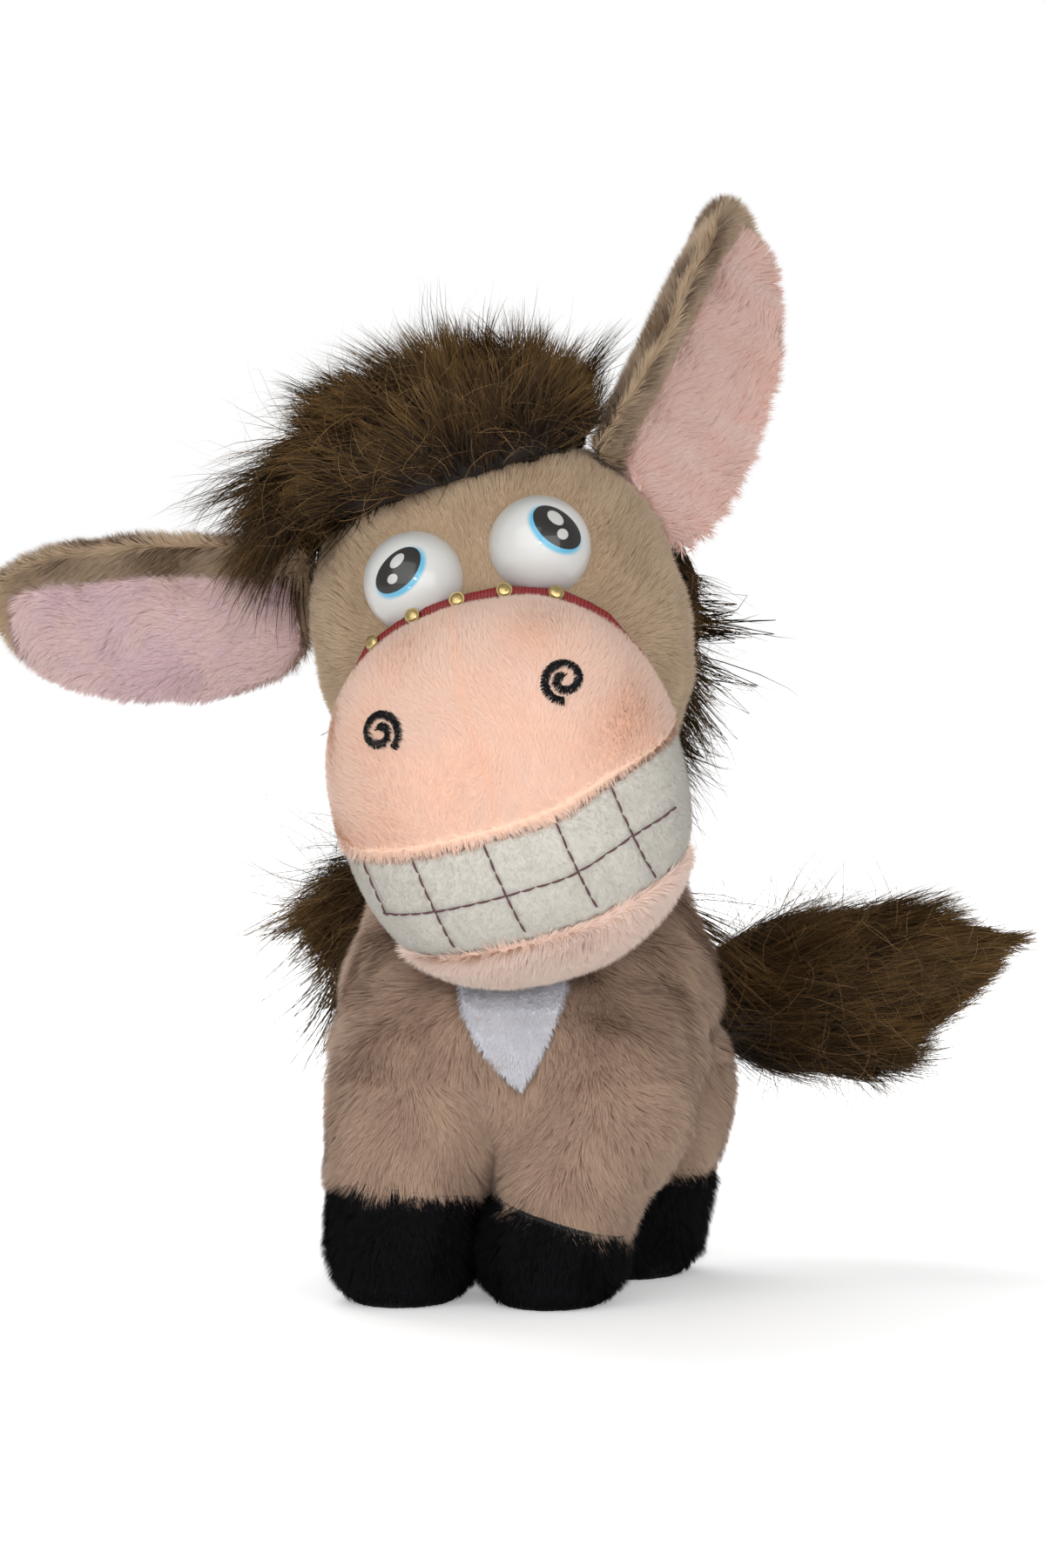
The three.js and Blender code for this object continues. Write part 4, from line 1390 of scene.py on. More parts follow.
@dataclass
class Muzzle:
    """The domed muzzle: a pink upper panel, cream teeth and a pink lip."""

    seam_half: float = 0.6 * MM
    cream_level: float = 0.996
    skins: dict[str, Surface] = field(default_factory=dict)

    def build(self) -> None:
        """Makes the three panels, the filling and their pile."""
        panels = (("muzzle_cover", "muzzle_panel", "pink_plush", paint(240, 202, 178)),
                  ("teeth_panel", "teeth_cloth", "cream_plush", paint(200, 196, 187)),
                  ("lower_lip", "lip_cloth", "lip_plush", paint(238, 206, 190)))
        for node, name, slot, colour in panels:
            panel = solid_copy(name, [node], 0.7 * MM, 4)
            self.round_off(panel, self.cream_level if node == "teeth_panel" else 1.0)
            panel.data.materials.append(Cloth(f"{name}_backing", colour, 0.96).material())
            ride(panel, "head", slot, node)
            self.skins[node] = Surface(panel)
        filling = solid_copy("muzzle_fill", ["muzzle_stuffing"], 1.3 * MM, 4, -1.5 * MM)
        filling.data.materials.append(Cloth("wadding_cloth", paint(238, 236, 230), 0.95).material())
        ride(filling, "head", "wadding", "muzzle_stuffing", fill=0.8)
        self.dress()

    def round_off(self, panel: bpy.types.Object, level: float) -> None:
        """Draws a panel up with the grin and moves its outer face onto the muzzle's true curve.

        Args:
            panel: The panel.
            level: How far out its face lies, 1 on the muzzle's own surface.
        """
        mesh = panel.data
        place = read(mesh, "co")
        local = HEAD.inside(place)
        lift = GRIN.lift(local[:, 0] - MUZZLE.centre.x, GRIN.height(local))
        place = place + lift[:, None] * np.array(HEAD.turn.col[2])
        middle = np.array(HEAD.out(MUZZLE.centre))
        reach = MUZZLE.level(place)
        outward = np.sum(read(mesh, "normal") * unit(place - middle), axis=1)
        share = (np.clip(outward * 4 - 1, 0, 1) * (reach > 0.85))[:, None]
        wanted = middle + (place - middle) * (level / reach)[:, None]
        write(mesh, place + (wanted - place) * share)

    def dress(self) -> None:
        """Grows the pile of the three panels."""
        nose = HEAD.out(Vector((-1.6, -46, -18)) * MM)
        upward = np.array([-0.2, 0.3, 1.0])

        def outer(points: np.ndarray, normals: np.ndarray) -> np.ndarray:
            """Keeps pile on the outer face only."""
            outward = unit(points - np.array(HEAD.out(MUZZLE.centre)))
            facing = np.sum(normals * outward, axis=1) > 0.55
            return facing & (MUZZLE.level(points) > 0.94) & (SKULL.level(points) > 1.005)

        def blush(points: np.ndarray, normals: np.ndarray) -> np.ndarray:
            """Orange in soft patches, and darker and more orange at the middle seam: partly the seam's own
            tint, partly painted shade in its fold.
            """
            across = HEAD.inside(points)[:, 0] - MUZZLE.centre.x
            patches = np.clip(drift(points, 9 * MM, 5), -1.3, 0.2) * 0.1
            specks = np.minimum(drift(points, 1.6 * MM, 6) + 0.6, 0) * 0.35
            # The dip at the middle seam is painted shade of the seam's fold, tinted orange.
            return patches + specks - 0.45 * np.exp(-(across / self.seam_half) ** 2)

        def edge(points: np.ndarray, normals: np.ndarray) -> np.ndarray:
            """Longer pile where the panel meets the head, the teeth or the lip."""
            by_head = 0.7 * np.clip((1.12 - SKULL.level(points)) * 7, 0, 1)
            return 1 + by_head + 0.6 * beside(points)

        def beside(points: np.ndarray) -> np.ndarray:
            """How near points are to the upper or the lower edge of the teeth."""
            local = HEAD.inside(points)
            height = GRIN.height(local)
            height = height - GRIN.lift(local[:, 0] - MUZZLE.centre.x, height)
            gap = np.minimum(np.abs(height - GRIN.gum), np.abs(height - GRIN.lip))
            return np.clip(1 - gap / (2.4 * MM), 0, 1)

        def over_gum(points: np.ndarray, normals: np.ndarray) -> np.ndarray:
            """Up to the band, and down over the edge of the teeth."""
            near = np.clip(beside(points) * 2, 0, 1)[:, None]
            return upward * (1 - near) - upward * near

        def over_lip(points: np.ndarray, normals: np.ndarray) -> np.ndarray:
            """Down and under, and up over the edge of the teeth."""
            near = np.clip(beside(points) * 2, 0, 1)[:, None]
            return down(points, normals) * (1 - near) + upward * near

        pink = Pile(PEACH, 200000, 1.2 * MM, width=0.11 * MM, lean=0.5, wander=0.9,
                    swirl=9 * MM, tuft=12, seed=61)
        cream = Pile(CREAM, 60000, 0.7 * MM, width=0.1 * MM, lean=0.62, wander=0.3,
                     tuft=0, seed=62)
        lip = Pile(LIP, 80000, 1.9 * MM, width=0.13 * MM, lean=0.42, wander=0.7, seed=63)
        down = away_from(nose, Vector((0, 0, -1.0)))
        ride(pink.grow("muzzle_pile", self.skins["muzzle_cover"], over_gum, keep=outer, scale=edge,
                       shade=blush), "head", "pink_plush")
        ride(cream.grow("teeth_pile", self.skins["teeth_panel"], down, keep=outer), "head", "cream_plush")
        ride(lip.grow("lip_pile", self.skins["lower_lip"], over_lip, keep=outer, scale=edge), "head",
             "lip_plush")


@dataclass
class Noseband:
    """A dark red tape in the crease over the muzzle, with five brass studs."""

    proud: float = 0.45 * MM
    stud_radius: float = 1.05 * MM
    stud_rise: float = 0.42
    stud_cap: float = 0.86

    def build(self) -> None:
        """Makes the tape and its studs."""
        tape = solid_copy("noseband_tape", ["noseband"], 0.32 * MM, 3, self.proud)
        tape.data.materials.append(Tape("red_tape", paint(132, 26, 24)).material())
        ride(tape, "head", "noseband", "noseband")
        form = self.stud()
        brass = Brass("stud_brass", paint(208, 184, 126)).material()
        for k in range(1, 6):
            piece = added(f"stud_{k}_cap", form.data.copy())
            piece.data.transform(self.seat(f"stud_{k}"))
            piece.data.materials.append(brass)
            ride(piece, "head", "gold_studs", f"stud_{k}")
        bpy.data.objects.remove(form)

    def stud(self) -> bpy.types.Object:
        """Models one stud at the origin: a domed cap with a turned-out rim."""
        bpy.ops.object.select_all(action="DESELECT")
        radius = self.stud_radius * self.stud_cap
        bpy.ops.mesh.primitive_uv_sphere_add(segments=32, ring_count=20, radius=radius)
        form = bpy.context.object
        bpy.ops.object.mode_set(mode="EDIT")
        bpy.ops.mesh.select_all(action="SELECT")
        bpy.ops.mesh.bisect(plane_co=(0, 0, 0), plane_no=(0, 0, 1), clear_inner=True, use_fill=False)
        bpy.ops.mesh.extrude_edges_move()
        bpy.ops.transform.resize(value=(1 / self.stud_cap, 1 / self.stud_cap, 1))
        bpy.ops.mesh.extrude_edges_move(TRANSFORM_OT_translate={"value": (0, 0, -self.stud_radius * 0.16)})
        bpy.ops.mesh.edge_face_add()
        bpy.ops.mesh.select_all(action="SELECT")
        bpy.ops.transform.resize(value=(1, 1, self.stud_rise))
        bpy.ops.mesh.normals_make_consistent(inside=False)
        bpy.ops.object.mode_set(mode="OBJECT")
        bpy.ops.object.shade_smooth_by_angle(angle=math.radians(40))
        return form

    def seat(self, node: str) -> Matrix:
        """Where a stud sits and how it is turned, read off its CAD solid's flat back.

        Args:
            node: The stud's node.

        Returns:
            The stud's place.
        """
        mesh = frame["nodes"][node].data
        areas: dict[tuple, float] = {}
        for face in mesh.polygons:
            key = tuple(round(v, 1) for v in face.normal)
            areas[key] = areas.get(key, 0.0) + face.area
        back = Vector(max(areas, key=areas.get)).normalized()
        rear = [face for face in mesh.polygons if face.normal.dot(back) > 0.97]
        total = sum(face.area for face in rear)
        centre = sum((face.center * face.area for face in rear), Vector()) / total
        turn = (-back).to_track_quat("Z", "Y").to_matrix().to_4x4()
        return Matrix.Translation(centre - back * self.stud_radius * 0.12) @ turn


@dataclass
class Threads:
    """Satin-stitched nostrils, and the machine stitches that draw the teeth."""

    nostril_spread: float = 12.3 * MM
    nostril_middle: float = -1.2 * MM
    nostril_height: float = 11.6 * MM
    nostril_outer: float = 2.7 * MM
    nostril_inner: float = 0.35 * MM
    nostril_turns: float = 1.5
    nostril_start: dict[Side, float] = field(default_factory=lambda: {
        Side.LEFT: math.radians(75), Side.RIGHT: math.radians(60)})
    satin_width: float = 1.4 * MM
    satin_step: float = 0.17 * MM
    satin_lift: float = 0.6 * MM
    set_back: float = 0.2 * MM
    teeth_middle: float = -3.6 * MM
    teeth: tuple[float, ...] = (-16.6 * MM, -9.5 * MM, 0.2 * MM, 9.9 * MM, 17.6 * MM)
    bite: tuple[float, float] = (-17.2 * MM, 23 * MM)
    slant: float = 0.12
    stitch: float = 2.1 * MM
    stitch_gap: float = -0.1 * MM
    stitch_radius: float = 0.16 * MM
    stitch_lift: float = 0.5 * MM

    def form(self, long: float, wide: float, high: float) -> bpy.types.Object:
        """Models one short thread that dips into the cloth at both ends.

        Args:
            long: Its length, along X.
            wide: Its width.
            high: Its height.

        Returns:
            The form, at the origin.
        """
        bpy.ops.object.select_all(action="DESELECT")
        bpy.ops.mesh.primitive_uv_sphere_add(segments=8, ring_count=9, radius=0.5)
        form = bpy.context.object
        bpy.ops.object.mode_set(mode="EDIT")
        bpy.ops.mesh.select_all(action="SELECT")
        bpy.ops.transform.rotate(value=math.pi / 2, orient_axis="Y", center_override=(0, 0, 0))
        bpy.ops.transform.resize(value=(long, wide, high))
        bpy.ops.object.mode_set(mode="OBJECT")
        for corner in form.data.vertices:
            share = 2 * corner.co.x / long
            corner.co.z -= high * 0.9 * share ** 4
        return form

    def nostril(self, side: Side) -> list[tuple[Vector, Vector]]:
        """Points and normals along one spiral, in the head's frame.

        Args:
            side: The toy's left or right.

        Returns:
            Points on the muzzle and the way it faces there.
        """
        path = []
        steps = 400
        for i in range(steps + 1):
            share = i / steps
            turn = 2 * math.pi * self.nostril_turns * share + self.nostril_start[side]
            radius = self.nostril_inner + (self.nostril_outer - self.nostril_inner) * share ** 0.8
            x = self.nostril_middle + side.value * (self.nostril_spread + radius * math.cos(turn))
            z = MUZZLE.centre.z + self.nostril_height + radius * math.sin(turn)
            path.append(MUZZLE.front(x, z))
        return path

    def tooth_point(self, x: float, z: float) -> tuple[Vector, Vector]:
        """A point on the teeth, whose rows rise towards the cheeks.

        Args:
            x: Its place across, in the head's frame.
            z: Its height below the muzzle's middle at the very front.

        Returns:
            The point and the way the cloth faces.
        """
        drawn = float(GRIN.lift(np.array(x - MUZZLE.centre.x), np.array(z)))
        lift = 0.0
        for _ in range(6):
            lift = (MUZZLE.front(x, MUZZLE.centre.z + z + drawn + lift)[0].y - GRIN.front) * GRIN.rise
        point, normal = MUZZLE.front(x, MUZZLE.centre.z + z + drawn + lift)
        return point - normal * self.set_back, normal

    def places(self, path: list[tuple[Vector, Vector]], step: float, lift: float, crosswise: bool,
               seed: int) -> list[Matrix]:
        """Spreads stitches along a path.

        Args:
            path: Points and normals in the head's frame.
            step: Distance between two stitches.
            lift: How far they lie above the surface.
            crosswise: Whether they lie across the path.
            seed: Seed of their small unevenness.

        Returns:
            The place of each stitch in the toy's frame.
        """
        rng = np.random.default_rng(seed)
        turn = HEAD.turn
        found = []
        gone = step / 2
        for (a, normal), (b, _) in zip(path, path[1:]):
            gone += (b - a).length
            if gone < step:
                continue
            gone -= step
            along = turn @ (b - a).normalized()
            up = turn @ normal
            side = up.cross(along).normalized()
            ahead = side if crosswise else along
            ahead = (ahead + along * rng.normal(0, 0.07) * crosswise
                     + side * rng.normal(0, 0.035) * (not crosswise)).normalized()
            right = up.cross(ahead).normalized()
            basis = Matrix((ahead, right, ahead.cross(right))).transposed().to_4x4()
            size = Matrix.Diagonal((rng.uniform(0.9, 1.1), 1, 1, 1))
            found.append(Matrix.Translation(HEAD.out(b) + up * lift) @ basis @ size)
        return found

    def build(self) -> None:
        """Makes the nostrils, the tooth lines and the bite line."""
        black = Thread("black_satin", paint(9, 8, 11), 0.5, 0.08).material()
        brown = Thread("brown_sewing", paint(84, 56, 60), 0.6).material()
        satin = self.form(self.satin_width, 0.21 * MM, 0.42 * MM)
        for side in Side:
            name = f"nostril_{side.word}"
            places = self.places(self.nostril(side), self.satin_step, self.satin_lift, True, 71)
            ride(set_out(f"{name}_satin", satin, places, black), "head", "black_thread", name)
        stitch = self.form(self.stitch, 2 * self.stitch_radius, 2 * self.stitch_radius)
        bite = (GRIN.gum + GRIN.lip) / 2
        start, end = self.bite
        lines = [("bite_line", [self.tooth_point(self.teeth_middle + start + (end - start) * i / 300, bite)
                                for i in range(301)])]
        for k, across in enumerate(self.teeth):
            for half, high, low in (("upper", GRIN.gum, bite), ("lower", bite, GRIN.lip)):
                if k == 0 and half == "lower":
                    continue
                points = []
                for i in range(2, 79):
                    z = high + (low - high) * i / 80
                    points.append(self.tooth_point(self.teeth_middle + across + (bite - z) * self.slant, z))
                lines.append((f"tooth_line_{half}_{k + 1}", points))
        for name, points in lines:
            places = self.places(points, self.stitch + self.stitch_gap, self.stitch_lift, False, 72)
            ride(set_out(f"{name}_stitches", stitch, places, brown), "head", "brown_thread", name)
        for form in (satin, stitch):
            bpy.data.objects.remove(form)


@dataclass
class Ear:
    """One ear: a tan leaf behind and a pink leaf in front, which reaches its lower edge.

    Attributes:
        side: The toy's left or right.
        rise: How far it points up from level, in degrees.
        lean: How far it points back, in degrees.
        twist: How far it is turned about its own length, in degrees.
        cup: How deep it is curved across.
        width: Its greatest width.
        lobe: How far the pink leaf hangs down at the root.
        bow: How far its upper edge is bowed out.
        pink_to: How far up the pink leaf reaches, as a share of half the ear's width.
        fibre: The pink leaf's fibre.
        seed: Seed of its pile.
    """

    side: Side
    rise: float
    lean: float
    twist: float
    cup: float
    width: float
    lobe: float
    bow: float
    pink_to: float
    fibre: Fibre
    seed: int
    length: float = 46 * MM
    root_width: float = 15 * MM
    widest: float = 0.4
    pink_from: float = -1.0
    pink_half: float = 0.8

    @property
    def name(self) -> str:
        """The ear's body."""
        return f"ear_{self.side.word}"

    @property
    def turn(self) -> np.ndarray:
        """The ear's own axes as columns: along it, through it and across it."""
        sign = self.side.value
        turn = spin(-sign * self.rise, "Y") @ spin(sign * self.lean, "Z") @ spin(self.twist, "X")
        return np.array(HEAD.turn @ turn)

    def inside(self, points: np.ndarray) -> np.ndarray:
        """Takes points from the toy's frame to the ear's."""
        return (points - np.array(joint(f"{self.name}_flap"))) @ self.turn

    def half(self, along: np.ndarray) -> np.ndarray:
        """Half the ear's width at places along it.

        Args:
            along: Distance from the root.

        Returns:
            Half the width there.
        """
        share = np.clip(np.abs(along) / self.length, 0, 0.999)
        root = self.root_width / 2
        rising = root + (self.width / 2 - root) * np.sin(share / self.widest * math.pi / 2)
        part = np.clip((share - self.widest) / (1 - self.widest), 0, 1)
        falling = self.width / 2 * np.sqrt(1 - part ** 2.4)
        return np.maximum(np.where(share < self.widest, rising, falling), 1 * MM)

    def shape(self, leaf: bpy.types.Object, pink: bool) -> None:
        """Bows a leaf's upper edge out; draws the pink one to the ear's lower edge and down to its lobe.

        Args:
            leaf: The leaf.
            pink: Whether it is the pink one.
        """
        local = self.inside(read(leaf.data, "co"))
        half = self.half(local[:, 0])
        across = local[:, 2].copy()
        if pink:
            grow = (self.pink_to - self.pink_from) / (2 * self.pink_half)
            local[:, 2] = across * grow + half * (self.pink_to + self.pink_from) / 2
            local[:, 1] -= self.cup * (local[:, 2] ** 2 - across ** 2) / (self.width / 2) ** 2
        share = local[:, 2] / half
        along = local[:, 0] * self.side.value / self.length
        local[:, 1] += self.bow * np.clip(share, 0, 1.2) ** 2 * np.clip(2.2 - 2 * along, 0, 1)
        hang = np.clip(1 - along * 1.9, 0, 1) * np.clip(-share, 0, 1) * pink
        place = local @ self.turn.T + np.array(joint(f"{self.name}_flap"))
        place += hang[:, None] * np.array([0.05, -0.2, -0.95]) * self.lobe
        write(leaf.data, place)

    def build(self) -> None:
        """Makes both leaves and their pile."""
        along = self.turn[:, 0] * self.side.value
        lower = -self.turn[:, 2]

        def out_to_tip(points: np.ndarray, normals: np.ndarray) -> np.ndarray:
            """Towards the tip and out to the nearer edge."""
            local = self.inside(points)
            share = (local[:, 2] / self.half(local[:, 0]))[:, None]
            return along - lower * share

        def tinted(points: np.ndarray, normals: np.ndarray) -> np.ndarray:
            """Soft patches of another tint."""
            return 0.26 * np.minimum(drift(points, 8 * MM, self.seed), 0.1)

        pink = self.leaf("inner", "ear_pink", paint(230, 200, 196))
        pile = Pile(self.fibre, 72000, 2.3 * MM, width=0.14 * MM, lean=0.42, wander=0.8,
                    swirl=5 * MM, tuft=50, seed=self.seed)
        ride(pile.grow(f"{self.name}_inner_pile", pink, out_to_tip, shade=tinted), self.name, "ear_pink")

        def beside_pink(points: np.ndarray, normals: np.ndarray) -> np.ndarray:
            """Keeps tan pile away from the pink leaf."""
            return np.array([pink.tree.find_nearest(point, 0.5 * MM)[0] is None for point in points])

        def darker_rim(points: np.ndarray, normals: np.ndarray) -> np.ndarray:
            """Painted shade: a little darker along the very edge, which catches the lamps' light."""
            local = self.inside(points)
            # Painted shade that tones down the lit edge.
            return -0.1 * np.clip(np.abs(local[:, 2] / self.half(local[:, 0])) * 8 - 7, 0, 1)

        tan = self.leaf("outer", "tan_plush", paint(160, 136, 110))
        pile = Pile(TAN, 92000, 2.8 * MM, width=0.14 * MM, lean=0.42, wander=0.5,
                    tuft=20, seed=self.seed + 1)
        ride(pile.grow(f"{self.name}_outer_pile", tan, out_to_tip, keep=beside_pink, shade=darker_rim),
             self.name, "tan_plush")

    def leaf(self, layer: str, slot: str, colour: tuple) -> Surface:
        """Makes one leaf.

        Args:
            layer: Which of the two leaves.
            slot: The record's material slot.
            colour: The cloth's colour.

        Returns:
            Its surface.
        """
        leaf = solid_copy(f"{self.name}_{layer}_leaf", [f"{self.name}_{layer}"], 0.7 * MM, 4)
        self.shape(leaf, layer == "inner")
        leaf.data.materials.append(Cloth(f"{slot}_ear_backing", colour, 0.94).material())
        ride(leaf, self.name, slot, f"{self.name}_{layer}")
        return Surface(leaf)


@dataclass
class Mane:
    """The long hair of forelock, crest and neck, each on its own dark form."""

    shrink: float = 1.4 * MM
    voxel: float = 1.1 * MM
    hairline: float = 19.0

    def bed(self, node: str, body: str) -> Surface:
        """Makes the dark form that a mass of hair grows from.

        Args:
            node: The CAD solid of that hair.
            body: The body that it moves with.

        Returns:
            The form's surface.
        """
        bed = solid_copy(f"{node}_bed", [node], self.voxel, 10, -self.shrink)
        # The bed is the hair's dark brown made darker still, as painted shade deep inside the mass of hair.
        bed.data.materials.append(Cloth("hair_backing", paint(24, 14, 7), 0.6).material())
        ride(bed, body, "brown_hair", node)
        return Surface(bed)

    def build(self) -> None:
        """Makes all three masses of hair."""
        def fringe(points: np.ndarray, normals: np.ndarray) -> np.ndarray:
            """Up and to the right of the toy, hanging at that end, and up to its left at the other."""
            x = points[:, 0] / MM
            far = np.clip((-x - 19) / 8, 0, 1)
            way = np.stack([0.75 * far - 1.0, 0.05 - 0.15 * far,
                            0.32 + np.clip((x + 17) / 9, -1.6, 0.12)], axis=1)
            other = np.stack([np.full(len(x), 0.45), np.full(len(x), 0.1), np.full(len(x), 0.95)], axis=1)
            share = np.clip((x + 12) / 26, 0, 1)[:, None]
            return unit(way * (1 - share) + other * share)

        def fall(points: np.ndarray, normals: np.ndarray) -> np.ndarray:
            """Down behind the head and out to both sides."""
            x = (points[:, 0] / MM - 3) / 14
            return unit(np.stack([0.62 * np.clip(x, -1, 1), np.full(len(x), 0.05),
                                  np.full(len(x), -0.85)], axis=1))

        def by_hairline(points: np.ndarray, normals: np.ndarray) -> np.ndarray:
            """Dark in the shade over the forehead."""
            low = np.clip((HEAD.inside(points)[:, 2] / MM - self.hairline) / 7, 0, 1)
            front = np.clip(-normals[:, 1] * 1.5, 0, 1)
            return -0.5 * (1 - low) * front

        def hanging(points: np.ndarray, normals: np.ndarray) -> np.ndarray:
            """Longer hair at the hanging end."""
            return 0.9 + 0.5 * np.clip((-points[:, 0] / MM - 20) / 8, 0, 1)

        def lower(points: np.ndarray, normals: np.ndarray) -> np.ndarray:
            """Longer hair on the lower half of the crest."""
            return np.clip((104 * MM - points[:, 2]) / (14 * MM), 0.45, 1.1)

        forelock = Hair(21500, 10.5 * MM, lift=0.5, turn=0.25, wave=0.6, wave_size=6 * MM, lock=30, draw=0.7,
                        uneven=0.3, stray=0.06, curl=0.5, seed=101)
        self.tress("forelock", "head", fringe, forelock, hanging, by_hairline)
        crest = Hair(14500, 17 * MM, lift=0.7, turn=0.25, wave=0.5, lock=40, uneven=0.3, stray=0.05, seed=111)
        self.tress("mane_crest", "head", fall, crest, lower)
        neck = Hair(12000, 20 * MM, lift=0.5, turn=0.3, wave=0.4, lock=40, uneven=0.3, stray=0.05, seed=121)
        self.tress("neck_mane", "torso", fall, neck)

    def tress(self, node: str, body: str, comb: Field, hair: Hair, scale: Field | None = None,
              shade: Field | None = None) -> None:
        """Makes one mass of hair.

        Args:
            node: Its CAD solid.
            body: The body that it moves with.
            comb: The way it is combed.
            hair: Its hair.
            scale: Gives how long the hair is there, as a share of its length.
            shade: Gives how much darker or lighter it is there.
        """
        bed = self.bed(node, body)
        wisps = replace(hair, count=hair.count // 14, length=hair.length * 1.3, width=0.11 * MM, stray=1.0,
                        lift=hair.lift * 2, turn=0.15, curl=0.7, points=8, seed=hair.seed + 1, fibre=WISP)
        for kind, hairs in (("hair", hair), ("wisps", wisps)):
            piece = hairs.grow(f"{node}_{kind}", bed, comb, scale=scale, shade=shade)
            ride(piece, body, "brown_hair")


@dataclass
class Tail:
    """The tail's short stub and its long combed tuft."""

    mane: Mane

    def build(self) -> None:
        """Makes both and combs them from root to tip."""
        low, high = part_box("tail_tuft")
        start = Vector(joint("tail_lift"))
        end = Vector((high[0], start.y, start.z + (high[0] - start.x) * 0.2))
        axis = np.array((end - start).normalized())

        def reach(points: np.ndarray) -> np.ndarray:
            """Share of the tail's length at points along it."""
            return (points[:, 0] - start.x) / (end.x - start.x)

        def comb(points: np.ndarray, normals: np.ndarray) -> np.ndarray:
            """Along the tail, over the form's own curve, and outwards near its root."""
            along = reach(points)[:, None]
            flare = np.clip(1 - along / 0.4, 0, 1) * np.where(normals[:, 2:] > 0.3, 0.1, 0.4)
            flare = flare - np.clip(along / 0.4 - 1.4, 0, 1) * 0.4
            return unit(along_surface(np.broadcast_to(axis, points.shape), normals) + axis * 0.8
                        + normals * flare)

        def shorter(points: np.ndarray, normals: np.ndarray) -> np.ndarray:
            """Shorter hair near the tip."""
            room = np.clip((56 * MM - points[:, 1]) / (10 * MM), 0.2, 1)
            below = np.clip(-normals[:, 2], 0, 1) * np.clip(reach(points) * 2 - 0.9, 0, 1)
            return (1.15 - 0.8 * np.clip(reach(points), 0, 1)) * room * (1 - 0.5 * below)

        def deeper(points: np.ndarray, normals: np.ndarray) -> np.ndarray:
            """Darker hair near the body."""
            return 0.55 * np.clip(reach(points), 0, 1) - 0.3

        self.mane.tress("tail_stub", "tail_stub", comb, Hair(2000, 7 * MM, lock=20, seed=131))
        self.mane.tress("tail_tuft", "tail", comb,
                        Hair(20500, 17 * MM, lift=0.3, turn=0.45, wave=0.3, uneven=0.35, draw=0.7, lock=45,
                             wave_size=12 * MM, seed=141), shorter, deeper)


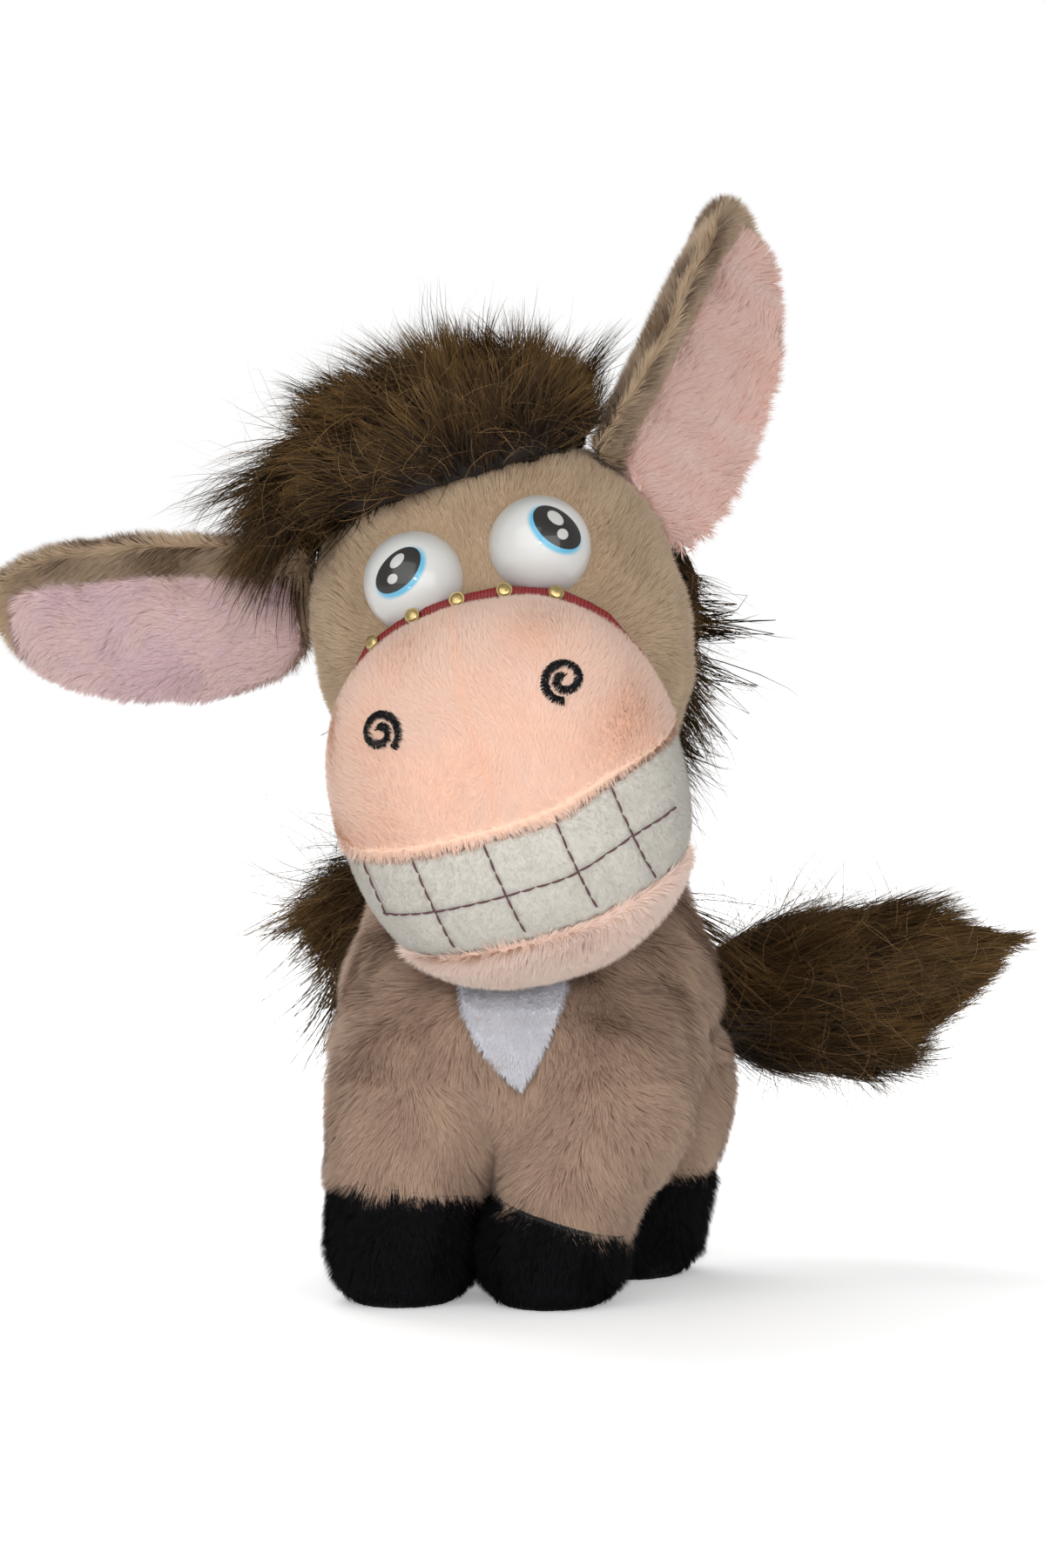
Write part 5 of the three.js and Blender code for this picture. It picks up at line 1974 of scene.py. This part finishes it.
@dataclass
class Studio:
    """Floor, lamps and the camera."""

    distance: float = 0.7
    azimuth: float = 8.0
    elevation: float = 2.0
    target: Vector = Vector((3.84, -3.47, 69.5)) * MM
    lens: float = 116.7

    def build(self) -> None:
        """Makes the whole set."""
        self.floor()
        self.world()
        self.lamp("key", Vector((-0.26, -0.8, 0.42)), 0.8, 3.1)
        self.lamp("fill", Vector((0.48, -0.72, 0.15)), 0.6, 2.6)
        self.lamp("flash", Vector((0.12, -0.72, 0.2)), 0.04, 0.7)
        self.lamp("rim", Vector((-0.32, 0.55, 0.62)), 0.7, 4.8).visible_glossy = False
        self.lamp("glint_left", Vector((-0.02, -0.24, 0.055)), 0.005, 0.01)
        self.lamp("glint_right", Vector((0.05, -0.23, 0.05)), 0.005, 0.01)
        self.camera()

    def floor(self) -> None:
        """A wide pale floor that keeps the toy's shadow."""
        bpy.ops.mesh.primitive_plane_add(size=12)
        plane = bpy.context.object
        plane.name = "floor"
        shader = Shader("pale_floor")
        path = shader.nodes.new("ShaderNodeLightPath")
        reach = shader.vector("LENGTH", shader.place())
        far = shader.add("ShaderNodeMapRange", Value=reach.outputs["Value"], From_Min=0.07, From_Max=0.3,
                         To_Min=0.3, To_Max=0.75)
        seen = shader.sum("MAXIMUM", path.outputs["Is Camera Ray"], path.outputs["Is Transmission Ray"])
        lift = shader.sum("MULTIPLY", seen, far.outputs["Result"])
        shader.finish(Base_Color=(0.92, 0.92, 0.92, 1), Roughness=0.9, Specular_IOR_Level=0.0,
                      Emission_Color=(1, 1, 1, 1), Emission_Strength=lift)
        plane.data.materials.append(shader.material)

    def world(self) -> None:
        """Even light from all round, and white behind the toy."""
        world = bpy.data.worlds.new("studio")
        bpy.context.scene.world = world
        world.use_nodes = True
        nodes, links = world.node_tree.nodes, world.node_tree.links
        path = nodes.new("ShaderNodeLightPath")
        seen = nodes.new("ShaderNodeMath")
        seen.operation = "MAXIMUM"
        links.new(path.outputs["Is Camera Ray"], seen.inputs[0])
        links.new(path.outputs["Is Transmission Ray"], seen.inputs[1])
        strength = nodes.new("ShaderNodeMapRange")
        links.new(seen.outputs[0], strength.inputs["Value"])
        strength.inputs["To Min"].default_value = 0.46
        strength.inputs["To Max"].default_value = 1.0
        links.new(strength.outputs["Result"], nodes["Background"].inputs["Strength"])
        nodes["Background"].inputs["Color"].default_value = (1, 1, 1, 1)

    def lamp(self, name: str, place: Vector, size: float, power: float) -> bpy.types.Object:
        """Adds a soft lamp that points at the toy.

        Args:
            name: Its name.
            place: Where it stands.
            size: Its width.
            power: Its power in watts.

        Returns:
            The lamp.
        """
        light = bpy.data.lights.new(name, "AREA")
        light.size = size
        light.energy = power
        lamp = added(name, light)
        lamp.location = place
        lamp.rotation_euler = (self.target - place).to_track_quat("-Z", "Y").to_euler()
        return lamp

    def camera(self) -> None:
        """Sets the camera at the photograph's angle."""
        turn, rise = math.radians(self.azimuth), math.radians(self.elevation)
        back = Vector((math.sin(turn) * math.cos(rise), -math.cos(turn) * math.cos(rise), math.sin(rise)))
        data = bpy.data.cameras.new("camera")
        data.lens = self.lens
        data.clip_start = 0.01
        camera = added("camera", data)
        camera.location = self.target + back * self.distance
        camera.rotation_mode = "QUATERNION"
        camera.rotation_quaternion = (-back).to_track_quat("-Z", "Y")
        bpy.context.scene.camera = camera


def main() -> None:
    """Builds the toy part by part, then its studio."""
    logging.basicConfig(level=logging.INFO, format="%(message)s")
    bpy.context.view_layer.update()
    bpy.context.scene.view_settings.view_transform = "Standard"
    eyes = Eyes()
    mane = Mane()
    parts = (Trunk(), Neck(), Head(eyes), Muzzle(), eyes, Noseband(), Threads(),
             Ear(Side.LEFT, rise=51, lean=27, twist=66, cup=10.5 * MM, width=19.5 * MM, lobe=9 * MM,
                 bow=6.5 * MM, pink_to=0.15, fibre=EAR_WARM, seed=81),
             Ear(Side.RIGHT, rise=14, lean=4, twist=24, cup=6 * MM, width=22.5 * MM, lobe=0.0,
                 bow=0.0, pink_to=0.45, fibre=EAR_COOL, seed=85),
             mane, Tail(mane), Studio())
    for part in parts:
        part.build()
        log.info("%s is done", type(part).__name__)


if __name__ == "__main__":
    main()
